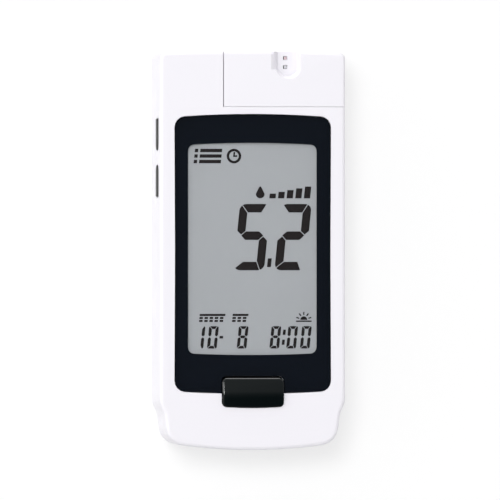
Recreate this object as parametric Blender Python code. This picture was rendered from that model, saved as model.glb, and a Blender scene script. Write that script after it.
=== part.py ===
"""Hand-held blood glucose meter, as an assembly of its separate pieces.

Metres, with the meter lying on its back. +Z is the way the display faces, +Y is the end
where the test strip goes in, and +X is the right-hand side seen from the front. The origin
is the middle of the back face. Rest position: keys and button out, cover and door closed.
"""
import math

import bmesh
import bpy
from mathutils import Matrix, Vector

MM = 0.001

# Case, seen from the front: straight sides, a drawn-in foot and two bowed ends
BODY_LENGTH = 98.0 * MM
BODY_WIDTH = 45.9 * MM
TOP_END_RADIUS = 600.0 * MM
BOTTOM_END_RADIUS = 125.0 * MM
TOP_CORNER_RADIUS = 1.3 * MM
FOOT_CORNER_RADIUS = 4.8 * MM
FOOT_TAPER = 0.85 * MM
WAIST_DEPTH = 1.25 * MM
WAIST_RISE = 2.9 * MM
WAIST_RADIUS = 5.0 * MM
WAIST_FROM_BOTTOM = 8.9 * MM
FACE_EDGE_RADIUS = 0.8 * MM
BACK_EDGE_RADIUS = 2.5 * MM
ARCH_REACH_SHARE = 0.78
ARC_ROOM_SHARE = 0.96
SHARPEST_CORNER = 0.2 * MM

# Walls and clearances
CASE_WALL = 1.8 * MM
FACE_SKIN = 1.8 * MM
BACK_SKIN = 1.8 * MM
FIT_GAP = 0.3 * MM
BOND_GAP = 0.2 * MM
SEAM_GAP = 0.2 * MM
COVER_STOP_GAP = 0.08 * MM
INSERT_GAP = 0.1 * MM
OVERRUN = 6.0 * MM

# Joint between the two shells
REAR_DEPTH = 10.0 * MM
RIM_LIP_HEIGHT = 1.3 * MM
RIM_LIP_THICKNESS = 0.8 * MM

# Stack from the back up to the board
CELL_DIAMETER = 10.5 * MM
CELL_LENGTH = 44.5 * MM
ROOF_SKIN = 0.8 * MM
BOARD_THICKNESS = 0.8 * MM

# Stack from the board up to the face
ELASTOMER_HEIGHT = 1.2 * MM
ELASTOMER_DEPTH = 1.1 * MM
BACK_GLASS = 0.8 * MM
FRONT_GLASS = 0.9 * MM
LEDGE_SKIN = 0.8 * MM
GASKET_THICKNESS = 0.3 * MM
LENS_THICKNESS = 1.1 * MM
LENS_SINK = 0.1 * MM

# Window
LENS_SIDE_MARGIN = 3.7 * MM
LENS_FROM_COVER = 1.88 * MM
LENS_FROM_BOTTOM = 14.0 * MM
LENS_CORNER_RADIUS = 2.6 * MM
LENS_TOP_RADIUS = 245.0 * MM
LENS_BOTTOM_RADIUS = 300.0 * MM
LENS_WAIST = 0.15 * MM
LENS_WAIST_RADIUS = 1500.0 * MM
LENS_CLEARANCE = 0.15 * MM
LENS_SEAT_RIB = 1.2 * MM
GASKET_MARGIN = 0.5 * MM

# Display, with its holder and its contact ledge at the lower end
VIEW_TOP_BORDER = 6.93 * MM
VIEW_BOTTOM_BORDER = 9.4 * MM
VIEW_CORNER_RADIUS = 1.6 * MM
VIEW_TOP_RADIUS = 250.0 * MM
VIEW_BOTTOM_RADIUS = 300.0 * MM
VIEW_EDGE_REVEAL = 0.2 * MM
GLASS_MARGIN = 1.1 * MM
GLASS_TOP_MARGIN = 1.2 * MM
GLASS_BOTTOM_MARGIN = 3.0 * MM
CONTACT_LEDGE = 1.7 * MM
HOLDER_WALL = 0.8 * MM
HOLDER_LIP = 1.6 * MM
HOLDER_FLOOR = 0.4 * MM
PEG_RADIUS = 0.7 * MM
PEG_INSET = 6.0 * MM

# Main button
BUTTON_WIDTH = 14.9 * MM
BUTTON_HEIGHT = 7.4 * MM
BUTTON_FROM_BOTTOM = 14.3 * MM
BUTTON_CORNER_RADIUS = 1.0 * MM
BUTTON_BOTTOM_BOW_RADIUS = 95.0 * MM
BUTTON_EDGE_RISE = 0.25 * MM
BUTTON_RIDGE_RISE = 0.95 * MM
BUTTON_RIDGE_DROP = 0.2 * MM
BUTTON_BEVEL = 0.22 * MM
BUTTON_TRAVEL = 0.4 * MM
BUTTON_FLANGE = 0.8 * MM
BUTTON_FLANGE_REACH = 0.9 * MM
BUTTON_CLEARANCE = 0.25 * MM
SWITCH_SIZE = 5.0 * MM
SWITCH_BODY = 0.7 * MM
SWITCH_CORNER_RADIUS = 0.4 * MM
SWITCH_PLUNGER_RADIUS = 1.2 * MM
SWITCH_PLUNGER_GAP = 0.15 * MM

# Side keys in the left wall, and the small board behind them
SIDE_KEY_LENGTH = 7.8 * MM
SIDE_KEY_HEIGHT = 3.5 * MM
SIDE_KEY_PITCH = 11.4 * MM
UPPER_KEY_FROM_TOP = 20.4 * MM
SIDE_KEY_DROP = 5.2 * MM
SIDE_KEY_PROUD = 0.28 * MM
SIDE_KEY_OUTER_RADIUS = 0.35 * MM
SIDE_KEY_INNER_RADIUS = 1.6 * MM
SIDE_KEY_BEVEL = 0.15 * MM
SIDE_KEY_CLEARANCE = 0.2 * MM
SIDE_KEY_TRAVEL = 0.4 * MM
SIDE_KEY_FLANGE = 0.6 * MM
SIDE_KEY_FLANGE_REACH = 0.4 * MM
DOME_RADIUS = 1.9 * MM
DOME_RISE = 0.3 * MM
SIDE_BOARD_THICKNESS = 0.6 * MM
SIDE_BOARD_OVERHANG = 1.0 * MM
SIDE_BOARD_DROP = 1.8 * MM

# Strip port cover
COVER_WIDTH = 30.3 * MM
COVER_LENGTH = 13.64 * MM
COVER_SKIN = 1.5 * MM
COVER_SHELF_HEIGHT = 12.6 * MM
COVER_CARRIER_SKIN = 1.4 * MM
STRIP_FROM_SIDE = 14.65 * MM
STRIP_SLOT_WIDTH = 6.4 * MM
STRIP_SLOT_HEIGHT = 0.7 * MM
GUIDE_WALL = 1.4 * MM
GUIDE_FLOOR = 0.8 * MM
GUIDE_END_MARGIN = 0.7 * MM
SCOOP_DEPTH = 2.4 * MM
SCOOP_RECESS_WIDTH = 3.75 * MM
SCOOP_RECESS_REACH = 0.57 * MM
SCOOP_HALF_WIDTH = 3.07 * MM
SCOOP_BOWL = 2.9 * MM
SCOOP_FLOOR_HALF_WIDTH = 2.3 * MM
SCOOP_FLOOR_BOWL = 2.05 * MM
SCOOP_SHIFT = 0.6 * MM
SCOOP_CENTER_FROM_TOP = 3.9 * MM
SCOOP_BREAK_SHARE = 0.58
SCOOP_BREAK_HEIGHT_SHARE = 0.32
NOTCH_FROM_SCOOP_EDGE = 0.1 * MM
NOTCH_WIDTH = 0.5 * MM
NOTCH_LENGTH = 0.7 * MM
NOTCH_DEPTH = 1.2 * MM
PORT_WINDOW_WIDTH = 1.0 * MM
PORT_WINDOW_LENGTH = 0.9 * MM
PORT_WINDOW_PITCH = 2.2 * MM
PORT_WINDOW_FROM_TOP = 1.6 * MM
PORT_WINDOW_SINK = 0.25 * MM
COVER_RIB_DEPTH = 0.5 * MM
COVER_RIB_HEIGHT = 0.8 * MM
COVER_RIB_DROP = 5.4 * MM
COVER_RIB_MARGIN = 1.5 * MM

# Optical sensor on the board under the port
SENSOR_WIDTH = 7.6 * MM
SENSOR_LENGTH = 5.2 * MM
SENSOR_CORNER_RADIUS = 0.5 * MM
SENSOR_END_GAP = 0.4 * MM
SENSOR_EYE_RADIUS = 0.9 * MM
SENSOR_EYE_DEPTH = 0.5 * MM

# Battery tub and door
TUB_FROM_BOTTOM = 4.4 * MM
TUB_WALL = 1.4 * MM
CELL_SPACING = 0.5 * MM
CELL_SIDE_GAP = 0.35 * MM
DOOR_WIDTH = 24.2 * MM
DOOR_OVERLAP = 2.6 * MM
DOOR_TONGUE_WIDTH = 0.6 * MM
DOOR_TONGUE_HEIGHT = 0.7 * MM
DOOR_TONGUE_MARGIN = 2.0 * MM
DOOR_CORNER_RADIUS = 1.5 * MM
RAIL_WIDTH = 1.0 * MM
RAIL_HEIGHT = 1.6 * MM
LATCH_WIDTH = 8.0 * MM
LATCH_REACH = 1.6 * MM
GRIP_COUNT = 6
GRIP_PITCH = 1.7 * MM
GRIP_GROOVE = 0.8 * MM
GRIP_DEPTH = 0.5 * MM
GRIP_WIDTH = 12.0 * MM
GRIP_FROM_TOP = 4.5 * MM

# Cells and their contacts
CELL_NUB_RADIUS = 1.9 * MM
CELL_NUB_HEIGHT = 0.9 * MM
CELL_EDGE = 0.5 * MM
CELL_END_RECESS = 0.25 * MM
CONTACT_PLATE = 0.4 * MM
CONTACT_WIDTH = 8.0 * MM
CONTACT_HEIGHT = 7.6 * MM
CONTACT_CORNER_RADIUS = 0.8 * MM
CONTACT_TAB_WIDTH = 1.6 * MM
SPRING_LENGTH = 2.1 * MM
SPRING_WIRE = 0.4 * MM
SPRING_BASE_RADIUS = 3.2 * MM
SPRING_TIP_RADIUS = 2.3 * MM
SPRING_TURNS = 2
SPRING_POINTS_PER_TURN = 14

# Screws and their bosses
SCREW_RADIUS = 1.0 * MM
SCREW_LENGTH = 10.0 * MM
SCREW_HEAD_RADIUS = 1.85 * MM
SCREW_HEAD_HEIGHT = 1.4 * MM
SCREW_RECESS_LENGTH = 2.2 * MM
SCREW_RECESS_WIDTH = 0.5 * MM
SCREW_RECESS_DEPTH = 0.7 * MM
SCREW_TIP = 0.6 * MM
COUNTERBORE_DEPTH = 6.0 * MM
COUNTERBORE_WALL = 0.8 * MM
FRONT_BOSS_RADIUS = 2.3 * MM
UPPER_BOSS_FROM_SIDE = 6.0 * MM
UPPER_BOSS_FROM_TOP = 10.0 * MM
LOWER_BOSS_FROM_SIDE = 4.6 * MM
LOWER_BOSS_FROM_BOTTOM = 7.0 * MM

# Board outline, its posts and its components
BOARD_FROM_BOTTOM = 4.0 * MM
BOARD_CORNER_RADIUS = 0.6 * MM
POST_RADIUS = 1.5 * MM
POST_FROM_SIDE = 7.5 * MM
POST_FROM_TOP = 20.0 * MM
CHIP_MARGIN = 2.5 * MM
CHIP_SPACING = 2.0 * MM
CHIP_BEVEL = 0.15 * MM
PROCESSOR_SIZE = 10.0 * MM
PROCESSOR_THICKNESS = 1.4 * MM
MEMORY_WIDTH = 5.0 * MM
MEMORY_LENGTH = 4.0 * MM
MEMORY_THICKNESS = 1.1 * MM
CRYSTAL_RADIUS = 1.3 * MM
CRYSTAL_LENGTH = 6.2 * MM
BUZZER_RADIUS = 4.5 * MM
BUZZER_THICKNESS = 2.4 * MM
BUZZER_HOLE_RADIUS = 0.8 * MM
BUZZER_HOLE_DEPTH = 0.6 * MM

# Fineness of the round shapes
ROUND_STEPS = 24
CORNER_STEPS = 3
WIDE_CORNER_STEPS = 4
ARCH_STEPS = 8
EDGE_STEPS = 3
SCOOP_STEPS = 14

# Heights worked out from the stacks
HALF_LENGTH = BODY_LENGTH / 2
HALF_WIDTH = BODY_WIDTH / 2
FOOT_HALF_WIDTH = HALF_WIDTH - WAIST_DEPTH - FOOT_TAPER
CELL_BOTTOM = BACK_SKIN + FIT_GAP
CELL_AXIS_HEIGHT = CELL_BOTTOM + CELL_DIAMETER / 2
ROOF_BOTTOM = CELL_BOTTOM + CELL_DIAMETER + FIT_GAP
ROOF_TOP = ROOF_BOTTOM + ROOF_SKIN
BOARD_BOTTOM = ROOF_TOP + FIT_GAP
BOARD_TOP = BOARD_BOTTOM + BOARD_THICKNESS
ELASTOMER_BOTTOM = BOARD_TOP + FIT_GAP
ELASTOMER_TOP = ELASTOMER_BOTTOM + ELASTOMER_HEIGHT
GLASS_STEP_HEIGHT = ELASTOMER_TOP + FIT_GAP
GLASS_BOTTOM = GLASS_STEP_HEIGHT - BACK_GLASS
GLASS_TOP = GLASS_STEP_HEIGHT + FRONT_GLASS
LEDGE_BOTTOM = GLASS_TOP + FIT_GAP
LEDGE_TOP = LEDGE_BOTTOM + LEDGE_SKIN
GASKET_BOTTOM = LEDGE_TOP + BOND_GAP
LENS_BOTTOM = GASKET_BOTTOM + GASKET_THICKNESS + BOND_GAP
LENS_TOP = LENS_BOTTOM + LENS_THICKNESS
FACE = LENS_TOP + LENS_SINK
RIM_BOTTOM = REAR_DEPTH + FIT_GAP / 2
REAR_TOP = REAR_DEPTH - FIT_GAP / 2
LIP_TOP = REAR_TOP + RIM_LIP_HEIGHT
LIP_OUTER_INSET = CASE_WALL - RIM_LIP_THICKNESS
RELIEF_INSET = LIP_OUTER_INSET - FIT_GAP
RELIEF_TOP = LIP_TOP + FIT_GAP

# Places across and along the meter
COVER_LEFT = HALF_WIDTH - COVER_WIDTH
COVER_FRONT_EDGE = HALF_LENGTH - COVER_LENGTH
CARRIER_INSET = COVER_SKIN + FIT_GAP
CARRIER_TOP = FACE - CARRIER_INSET
CARRIER_CAVITY_INSET = CARRIER_INSET + COVER_CARRIER_SKIN
CARRIER_CAVITY_TOP = CARRIER_TOP - COVER_CARRIER_SKIN
STRIP_X = HALF_WIDTH - STRIP_FROM_SIDE
SCOOP_FLOOR = FACE - SCOOP_DEPTH
SCOOP_CENTER_Y = HALF_LENGTH - SCOOP_CENTER_FROM_TOP
GUIDE_BOTTOM = SCOOP_FLOOR - GUIDE_FLOOR
GUIDE_HALF_WIDTH = STRIP_SLOT_WIDTH / 2 + GUIDE_WALL
GUIDE_START = COVER_FRONT_EDGE + SEAM_GAP + GUIDE_END_MARGIN
LENS_HALF_WIDTH = HALF_WIDTH - LENS_SIDE_MARGIN
LENS_UPPER_END = COVER_FRONT_EDGE - LENS_FROM_COVER
LENS_LOWER_END = LENS_FROM_BOTTOM - HALF_LENGTH
KEY_FLANGE_OUTER = HALF_WIDTH - CASE_WALL - FIT_GAP
KEY_FLANGE_INNER = KEY_FLANGE_OUTER - SIDE_KEY_FLANGE
KEY_FLANGE_PRESSED = KEY_FLANGE_INNER - SIDE_KEY_TRAVEL
DOME_TIP = KEY_FLANGE_PRESSED - FIT_GAP
SIDE_BOARD_OUTER = DOME_TIP - DOME_RISE - BOND_GAP
SIDE_BOARD_INNER = SIDE_BOARD_OUTER - SIDE_BOARD_THICKNESS
HOLDER_HALF_WIDTH = SIDE_BOARD_INNER - FIT_GAP
GLASS_HALF_WIDTH = HOLDER_HALF_WIDTH - HOLDER_WALL - FIT_GAP
VIEW_HALF_WIDTH = GLASS_HALF_WIDTH - GLASS_MARGIN
VIEW_UPPER_END = LENS_UPPER_END - VIEW_TOP_BORDER
VIEW_LOWER_END = LENS_LOWER_END + VIEW_BOTTOM_BORDER
GLASS_UPPER_END = VIEW_UPPER_END + GLASS_TOP_MARGIN
GLASS_LOWER_END = VIEW_LOWER_END - GLASS_BOTTOM_MARGIN
BUTTON_Y = BUTTON_FROM_BOTTOM - HALF_LENGTH
BUTTON_RIDGE_Y = BUTTON_Y - BUTTON_RIDGE_DROP
BUTTON_FLANGE_TOP = LEDGE_BOTTOM - FIT_GAP
BUTTON_BOTTOM = BUTTON_FLANGE_TOP - BUTTON_FLANGE
KEY_MIDDLE_HEIGHT = FACE - SIDE_KEY_DROP
UPPER_KEY_Y = HALF_LENGTH - UPPER_KEY_FROM_TOP
LOWER_KEY_Y = UPPER_KEY_Y - SIDE_KEY_PITCH
SIDE_BOARD_LOWER_END = LOWER_KEY_Y - SIDE_KEY_LENGTH / 2 - SIDE_BOARD_OVERHANG
SIDE_BOARD_UPPER_END = UPPER_KEY_Y + SIDE_KEY_LENGTH / 2 + SIDE_BOARD_OVERHANG
CELL_X = (CELL_DIAMETER + CELL_SPACING) / 2
TUB_HALF_WIDTH = CELL_X + CELL_DIAMETER / 2 + CELL_SIDE_GAP
TUB_LOWER_END = TUB_FROM_BOTTOM - HALF_LENGTH
TUB_UPPER_END = (
    TUB_LOWER_END + CELL_LENGTH + SPRING_LENGTH + CONTACT_PLATE + CONTACT_PLATE + FIT_GAP * 5
)
TUB_UPPER_OUTSIDE = TUB_UPPER_END + TUB_WALL
DOOR_UPPER_END = TUB_UPPER_END + DOOR_OVERLAP
DOOR_HALF_WIDTH = DOOR_WIDTH / 2
UPPER_BOSS_X = HALF_WIDTH - UPPER_BOSS_FROM_SIDE
UPPER_BOSS_Y = HALF_LENGTH - UPPER_BOSS_FROM_TOP
LOWER_BOSS_X = FOOT_HALF_WIDTH - LOWER_BOSS_FROM_SIDE
LOWER_BOSS_Y = LOWER_BOSS_FROM_BOTTOM - HALF_LENGTH
BOSS_PLACES = (
    (-UPPER_BOSS_X, UPPER_BOSS_Y),
    (UPPER_BOSS_X, UPPER_BOSS_Y),
    (-LOWER_BOSS_X, LOWER_BOSS_Y),
    (LOWER_BOSS_X, LOWER_BOSS_Y),
)
COUNTERBORE_RADIUS = SCREW_HEAD_RADIUS + FIT_GAP
REAR_BOSS_RADIUS = COUNTERBORE_RADIUS + COUNTERBORE_WALL
POST_X = HALF_WIDTH - POST_FROM_SIDE
POST_Y = HALF_LENGTH - POST_FROM_TOP

# Colour, roughness and metallic value of each kind of material
FINISHES = {
    "white_plastic": ("F3F3F6", 0.38, 0.0),
    "black_plastic": ("1B1D1F", 0.35, 0.0),
    "key_rubber": ("2A2B2C", 0.55, 0.0),
    "window_plastic": ("10141A", 0.06, 0.0),
    "display_glass": ("A7ABAE", 0.20, 0.0),
    "grey_plastic": ("8D9093", 0.45, 0.0),
    "adhesive_foam": ("17181A", 0.85, 0.0),
    "grey_rubber": ("5A5C5F", 0.70, 0.0),
    "circuit_board": ("1E5A3A", 0.45, 0.0),
    "chip_resin": ("202124", 0.50, 0.0),
    "plated_steel": ("B9BBBD", 0.28, 1.0),
    "red_window": ("A84A58", 0.15, 0.0),
    "violet_window": ("5E5A86", 0.15, 0.0),
    "cell_sleeve": ("4A5058", 0.30, 0.6),
}


def clear_scene():
    for item in list(bpy.data.objects):
        bpy.data.objects.remove(item, do_unlink=True)


def linear(channel):
    return channel / 12.92 if channel <= 0.04045 else ((channel + 0.055) / 1.055) ** 2.4


def give_finish(piece, finish):
    """A Principled BSDF material of the piece's own, from the table of finishes."""
    colour, roughness, metallic = FINISHES[finish]
    channels = [linear(int(colour[i:i + 2], 16) / 255) for i in (0, 2, 4)]
    material = bpy.data.materials.new(f"{piece.name}_{finish}")
    material.use_nodes = True
    shader = material.node_tree.nodes["Principled BSDF"]
    shader.inputs["Base Color"].default_value = (*channels, 1.0)
    shader.inputs["Roughness"].default_value = roughness
    shader.inputs["Metallic"].default_value = metallic
    piece.data.materials.clear()
    piece.data.materials.append(material)
    return piece


# Outlines. A corner is (x, y, radius, steps); outlines run anticlockwise.

def direction(start, end):
    return (Vector(end[:2]) - Vector(start[:2])).normalized()


def cross(first, second):
    return first.x * second.y - first.y * second.x


def grown(corners, distance):
    """The same outline moved outward by a distance, or inward by a negative one."""
    moved = []
    for index, (x, y, radius, steps) in enumerate(corners):
        before = direction(corners[index - 1], corners[index])
        after = direction(corners[index], corners[(index + 1) % len(corners)])
        outward = [Vector((side.y, -side.x)) for side in (before, after)]
        shift = (outward[0] + outward[1]) * distance / (1 + outward[0].dot(outward[1]))
        turn_sign = 1 if cross(before, after) > 0 else -1
        new_radius = max(radius + turn_sign * distance, SHARPEST_CORNER)
        moved.append((x + shift.x, y + shift.y, new_radius, steps))
    return moved


def rounded(corners):
    """Points of an outline whose corners are arcs, each limited by the sides beside it."""
    count = len(corners)
    places = [Vector(corner[:2]) for corner in corners]
    sides = [(places[(i + 1) % count] - places[i]) for i in range(count)]
    half_turns = [sides[i - 1].angle(sides[i]) / 2 for i in range(count)]
    reaches = [corners[i][2] * math.tan(half_turns[i]) for i in range(count)]
    points = []
    for i in range(count):
        before_room = sides[i - 1].length / (reaches[i - 1] + reaches[i])
        after_room = sides[i].length / (reaches[i] + reaches[(i + 1) % count])
        reach = reaches[i] * min(1, before_room * ARC_ROOM_SHARE, after_room * ARC_ROOM_SHARE)
        back, onward = -sides[i - 1].normalized(), sides[i].normalized()
        inward = (back + onward).normalized()
        centre = places[i] + inward * reach / math.sin(half_turns[i])
        start, end = places[i] + back * reach - centre, places[i] + onward * reach - centre
        turn = math.atan2(cross(start, end), start.dot(end))
        for step in range(corners[i][3] + 1):
            angle = turn * step / corners[i][3]
            arm = Matrix.Rotation(angle, 2) @ start
            points.append((centre.x + arm.x, centre.y + arm.y))
    return points


def mirrored(bottom_apex, right_side, top_apex):
    left_side = [(-x, y, radius, steps) for x, y, radius, steps in reversed(right_side)]
    return [bottom_apex, *right_side, top_apex, *left_side]


def bowed_end(end, half_width, radius, side):
    """Heights of the apex and the corner that shape a bowed end. side is 1 or -1."""
    slope = half_width * ARCH_REACH_SHARE / radius
    apex = end + side * radius * (math.sqrt(1 + slope * slope) - 1)
    return apex, apex - side * half_width * slope


def body_corners():
    top_apex, top_corner = bowed_end(HALF_LENGTH, HALF_WIDTH, TOP_END_RADIUS, 1)
    low_apex, low_corner = bowed_end(-HALF_LENGTH, FOOT_HALF_WIDTH, BOTTOM_END_RADIUS, -1)
    waist = WAIST_FROM_BOTTOM - HALF_LENGTH
    right_side = [
        (FOOT_HALF_WIDTH, low_corner, FOOT_CORNER_RADIUS, WIDE_CORNER_STEPS),
        (HALF_WIDTH - WAIST_DEPTH, waist, WAIST_RADIUS, CORNER_STEPS),
        (HALF_WIDTH, waist + WAIST_RISE, WAIST_RADIUS, CORNER_STEPS),
        (HALF_WIDTH, top_corner, TOP_CORNER_RADIUS, CORNER_STEPS),
    ]
    return mirrored(
        (0, low_apex, BOTTOM_END_RADIUS, ARCH_STEPS),
        right_side,
        (0, top_apex, TOP_END_RADIUS, WIDE_CORNER_STEPS),
    )


def window_corners(half_width, lower_end, upper_end, lower_radius, upper_radius, corner, waist):
    """A rounded oblong with bowed ends and, where waist isn't zero, drawn-in sides."""
    top_apex, top_corner = bowed_end(upper_end, half_width, upper_radius, 1)
    low_apex, low_corner = bowed_end(lower_end, half_width, lower_radius, -1)
    middle = (low_corner + top_corner) / 2
    right_side = [
        (half_width, low_corner, corner, WIDE_CORNER_STEPS),
        (half_width, top_corner, corner, WIDE_CORNER_STEPS),
    ]
    if waist:
        right_side.insert(1, (half_width - waist, middle, LENS_WAIST_RADIUS, CORNER_STEPS))
    return mirrored(
        (0, low_apex, lower_radius, ARCH_STEPS), right_side, (0, top_apex, upper_radius, ARCH_STEPS)
    )


def lens_corners():
    return window_corners(
        LENS_HALF_WIDTH, LENS_LOWER_END, LENS_UPPER_END,
        LENS_BOTTOM_RADIUS, LENS_TOP_RADIUS, LENS_CORNER_RADIUS, LENS_WAIST,
    )


def view_corners():
    return window_corners(
        VIEW_HALF_WIDTH, VIEW_LOWER_END, VIEW_UPPER_END,
        VIEW_BOTTOM_RADIUS, VIEW_TOP_RADIUS, VIEW_CORNER_RADIUS, 0,
    )


def button_corners():
    half_width, half_height = BUTTON_WIDTH / 2, BUTTON_HEIGHT / 2
    low_apex, low_corner = bowed_end(
        BUTTON_Y - half_height, half_width, BUTTON_BOTTOM_BOW_RADIUS, -1
    )
    upper = BUTTON_Y + half_height
    return [
        (0, low_apex, BUTTON_BOTTOM_BOW_RADIUS, WIDE_CORNER_STEPS),
        (half_width, low_corner, BUTTON_CORNER_RADIUS, WIDE_CORNER_STEPS),
        (half_width, upper, BUTTON_CORNER_RADIUS, WIDE_CORNER_STEPS),
        (-half_width, upper, BUTTON_CORNER_RADIUS, WIDE_CORNER_STEPS),
        (-half_width, low_corner, BUTTON_CORNER_RADIUS, WIDE_CORNER_STEPS),
    ]


def rectangle(left, right, low, high, radius=SHARPEST_CORNER, steps=1):
    places = ((left, low), (right, low), (right, high), (left, high))
    return [(x, y, radius, steps) for x, y in places]


def circle(x, y, radius, steps=ROUND_STEPS):
    angles = [math.tau * step / steps for step in range(steps)]
    return [(x + radius * math.cos(a), y + radius * math.sin(a)) for a in angles]


# Solids

def loft(name, rings):
    """A closed solid through rings of equally many points, capped at both ends."""
    mesh = bmesh.new()
    layers = [[mesh.verts.new(point) for point in ring] for ring in rings]
    for lower, upper in zip(layers, layers[1:]):
        for index, corner in enumerate(lower):
            following = (index + 1) % len(lower)
            mesh.faces.new((corner, lower[following], upper[following], upper[index]))
    mesh.faces.new(tuple(reversed(layers[0])))
    mesh.faces.new(tuple(layers[-1]))
    bmesh.ops.recalc_face_normals(mesh, faces=mesh.faces)
    data = bpy.data.meshes.new(name)
    mesh.to_mesh(data)
    mesh.free()
    piece = bpy.data.objects.new(name, data)
    bpy.context.collection.objects.link(piece)
    return piece


def prism(name, outline, bottom, top):
    return loft(name, [[(x, y, height) for x, y in outline] for height in (bottom, top)])


def side_prism(name, outline, start, end):
    """A prism along X whose outline is drawn in (y, z)."""
    return loft(name, [[(x, y, z) for y, z in outline] for x in (start, end)])


def box(name, left, right, low, high, bottom, top):
    outline = [(left, low), (right, low), (right, high), (left, high)]
    return prism(name, outline, bottom, top)


def turned(name, profile, steps=ROUND_STEPS):
    """A solid turned about Z through (radius, height) pairs."""
    return loft(name, [[(x, y, h) for x, y in circle(0, 0, r, steps)] for r, h in profile])


def moved(piece, matrix):
    piece.data.transform(matrix)
    return piece


def combine(piece, tool, operation):
    modifier = piece.modifiers.new(operation.lower(), "BOOLEAN")
    modifier.operation = operation
    modifier.object = tool
    with bpy.context.temp_override(object=piece, active_object=piece):
        bpy.ops.object.modifier_apply(modifier=modifier.name)
    bpy.data.objects.remove(tool, do_unlink=True)
    return piece


def cut(piece, tool):
    return combine(piece, tool, "DIFFERENCE")


def fuse(piece, tool):
    return combine(piece, tool, "UNION")


def keep_inside(piece, tool):
    return combine(piece, tool, "INTERSECT")


def bevelled(piece, width, steps=2):
    """Edges sharper than 40 degrees are rounded by the given width."""
    modifier = piece.modifiers.new("bevel", "BEVEL")
    modifier.width = width
    modifier.segments = steps
    modifier.limit_method = "ANGLE"
    modifier.angle_limit = math.radians(40)
    with bpy.context.temp_override(object=piece, active_object=piece):
        bpy.ops.object.modifier_apply(modifier=modifier.name)
    return piece


def smoothed(piece):
    piece.data.shade_smooth()
    piece.data.set_sharp_from_angle(angle=math.radians(30))
    return piece


def with_origin(piece, place):
    piece.data.transform(Matrix.Translation(-Vector(place)))
    piece.location = place
    return piece


# The case's outer form, and what is cut from it

def body_form(name, stations):
    """The case's outline lofted through (height, inset) stations."""
    corners = body_corners()
    rings = []
    for height, inset in stations:
        rings.append([(x, y, height) for x, y in rounded(grown(corners, -inset))])
    return loft(name, rings)


def front_edge(top, radius):
    angles = [math.pi / 2 * step / EDGE_STEPS for step in range(EDGE_STEPS + 1)]
    return [(top - radius * (1 - math.sin(a)), radius * (1 - math.cos(a))) for a in angles]


def back_edge(radius):
    angles = [math.pi / 2 * step / EDGE_STEPS for step in range(EDGE_STEPS + 1)]
    return [(radius * (1 - math.cos(a)), radius * (1 - math.sin(a))) for a in angles]


def port_block(name, side_margin, front_margin, bottom):
    """The corner that the port cover takes, reaching past the case on the outside."""
    return box(
        name, COVER_LEFT - side_margin, HALF_WIDTH + OVERRUN,
        COVER_FRONT_EDGE - front_margin, HALF_LENGTH + OVERRUN, bottom, FACE + OVERRUN,
    )


def stepped_form(name, stations, margin, shelf, core_inset, core_top):
    """A body form that is set back under the port cover, down to a shelf."""
    form = body_form(name, stations)
    block = port_block("port_block", margin, margin, shelf)
    core = body_form("core", [(shelf - OVERRUN, core_inset), (core_top, core_inset)])
    return cut(form, cut(block, core))


def key_outline(y, growth, flip):
    """A side key in (y, z): square at its outer end, rounded at its inner one."""
    half_length, half_height = SIDE_KEY_LENGTH / 2, SIDE_KEY_HEIGHT / 2
    low, high = KEY_MIDDLE_HEIGHT - half_height, KEY_MIDDLE_HEIGHT + half_height
    near, far = SIDE_KEY_INNER_RADIUS, SIDE_KEY_OUTER_RADIUS
    start_radius, end_radius = (near, far) if flip else (far, near)
    corners = [
        (y - half_length, low, start_radius, WIDE_CORNER_STEPS),
        (y + half_length, low, end_radius, WIDE_CORNER_STEPS),
        (y + half_length, high, end_radius, WIDE_CORNER_STEPS),
        (y - half_length, high, start_radius, WIDE_CORNER_STEPS),
    ]
    return rounded(grown(corners, growth))


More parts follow.
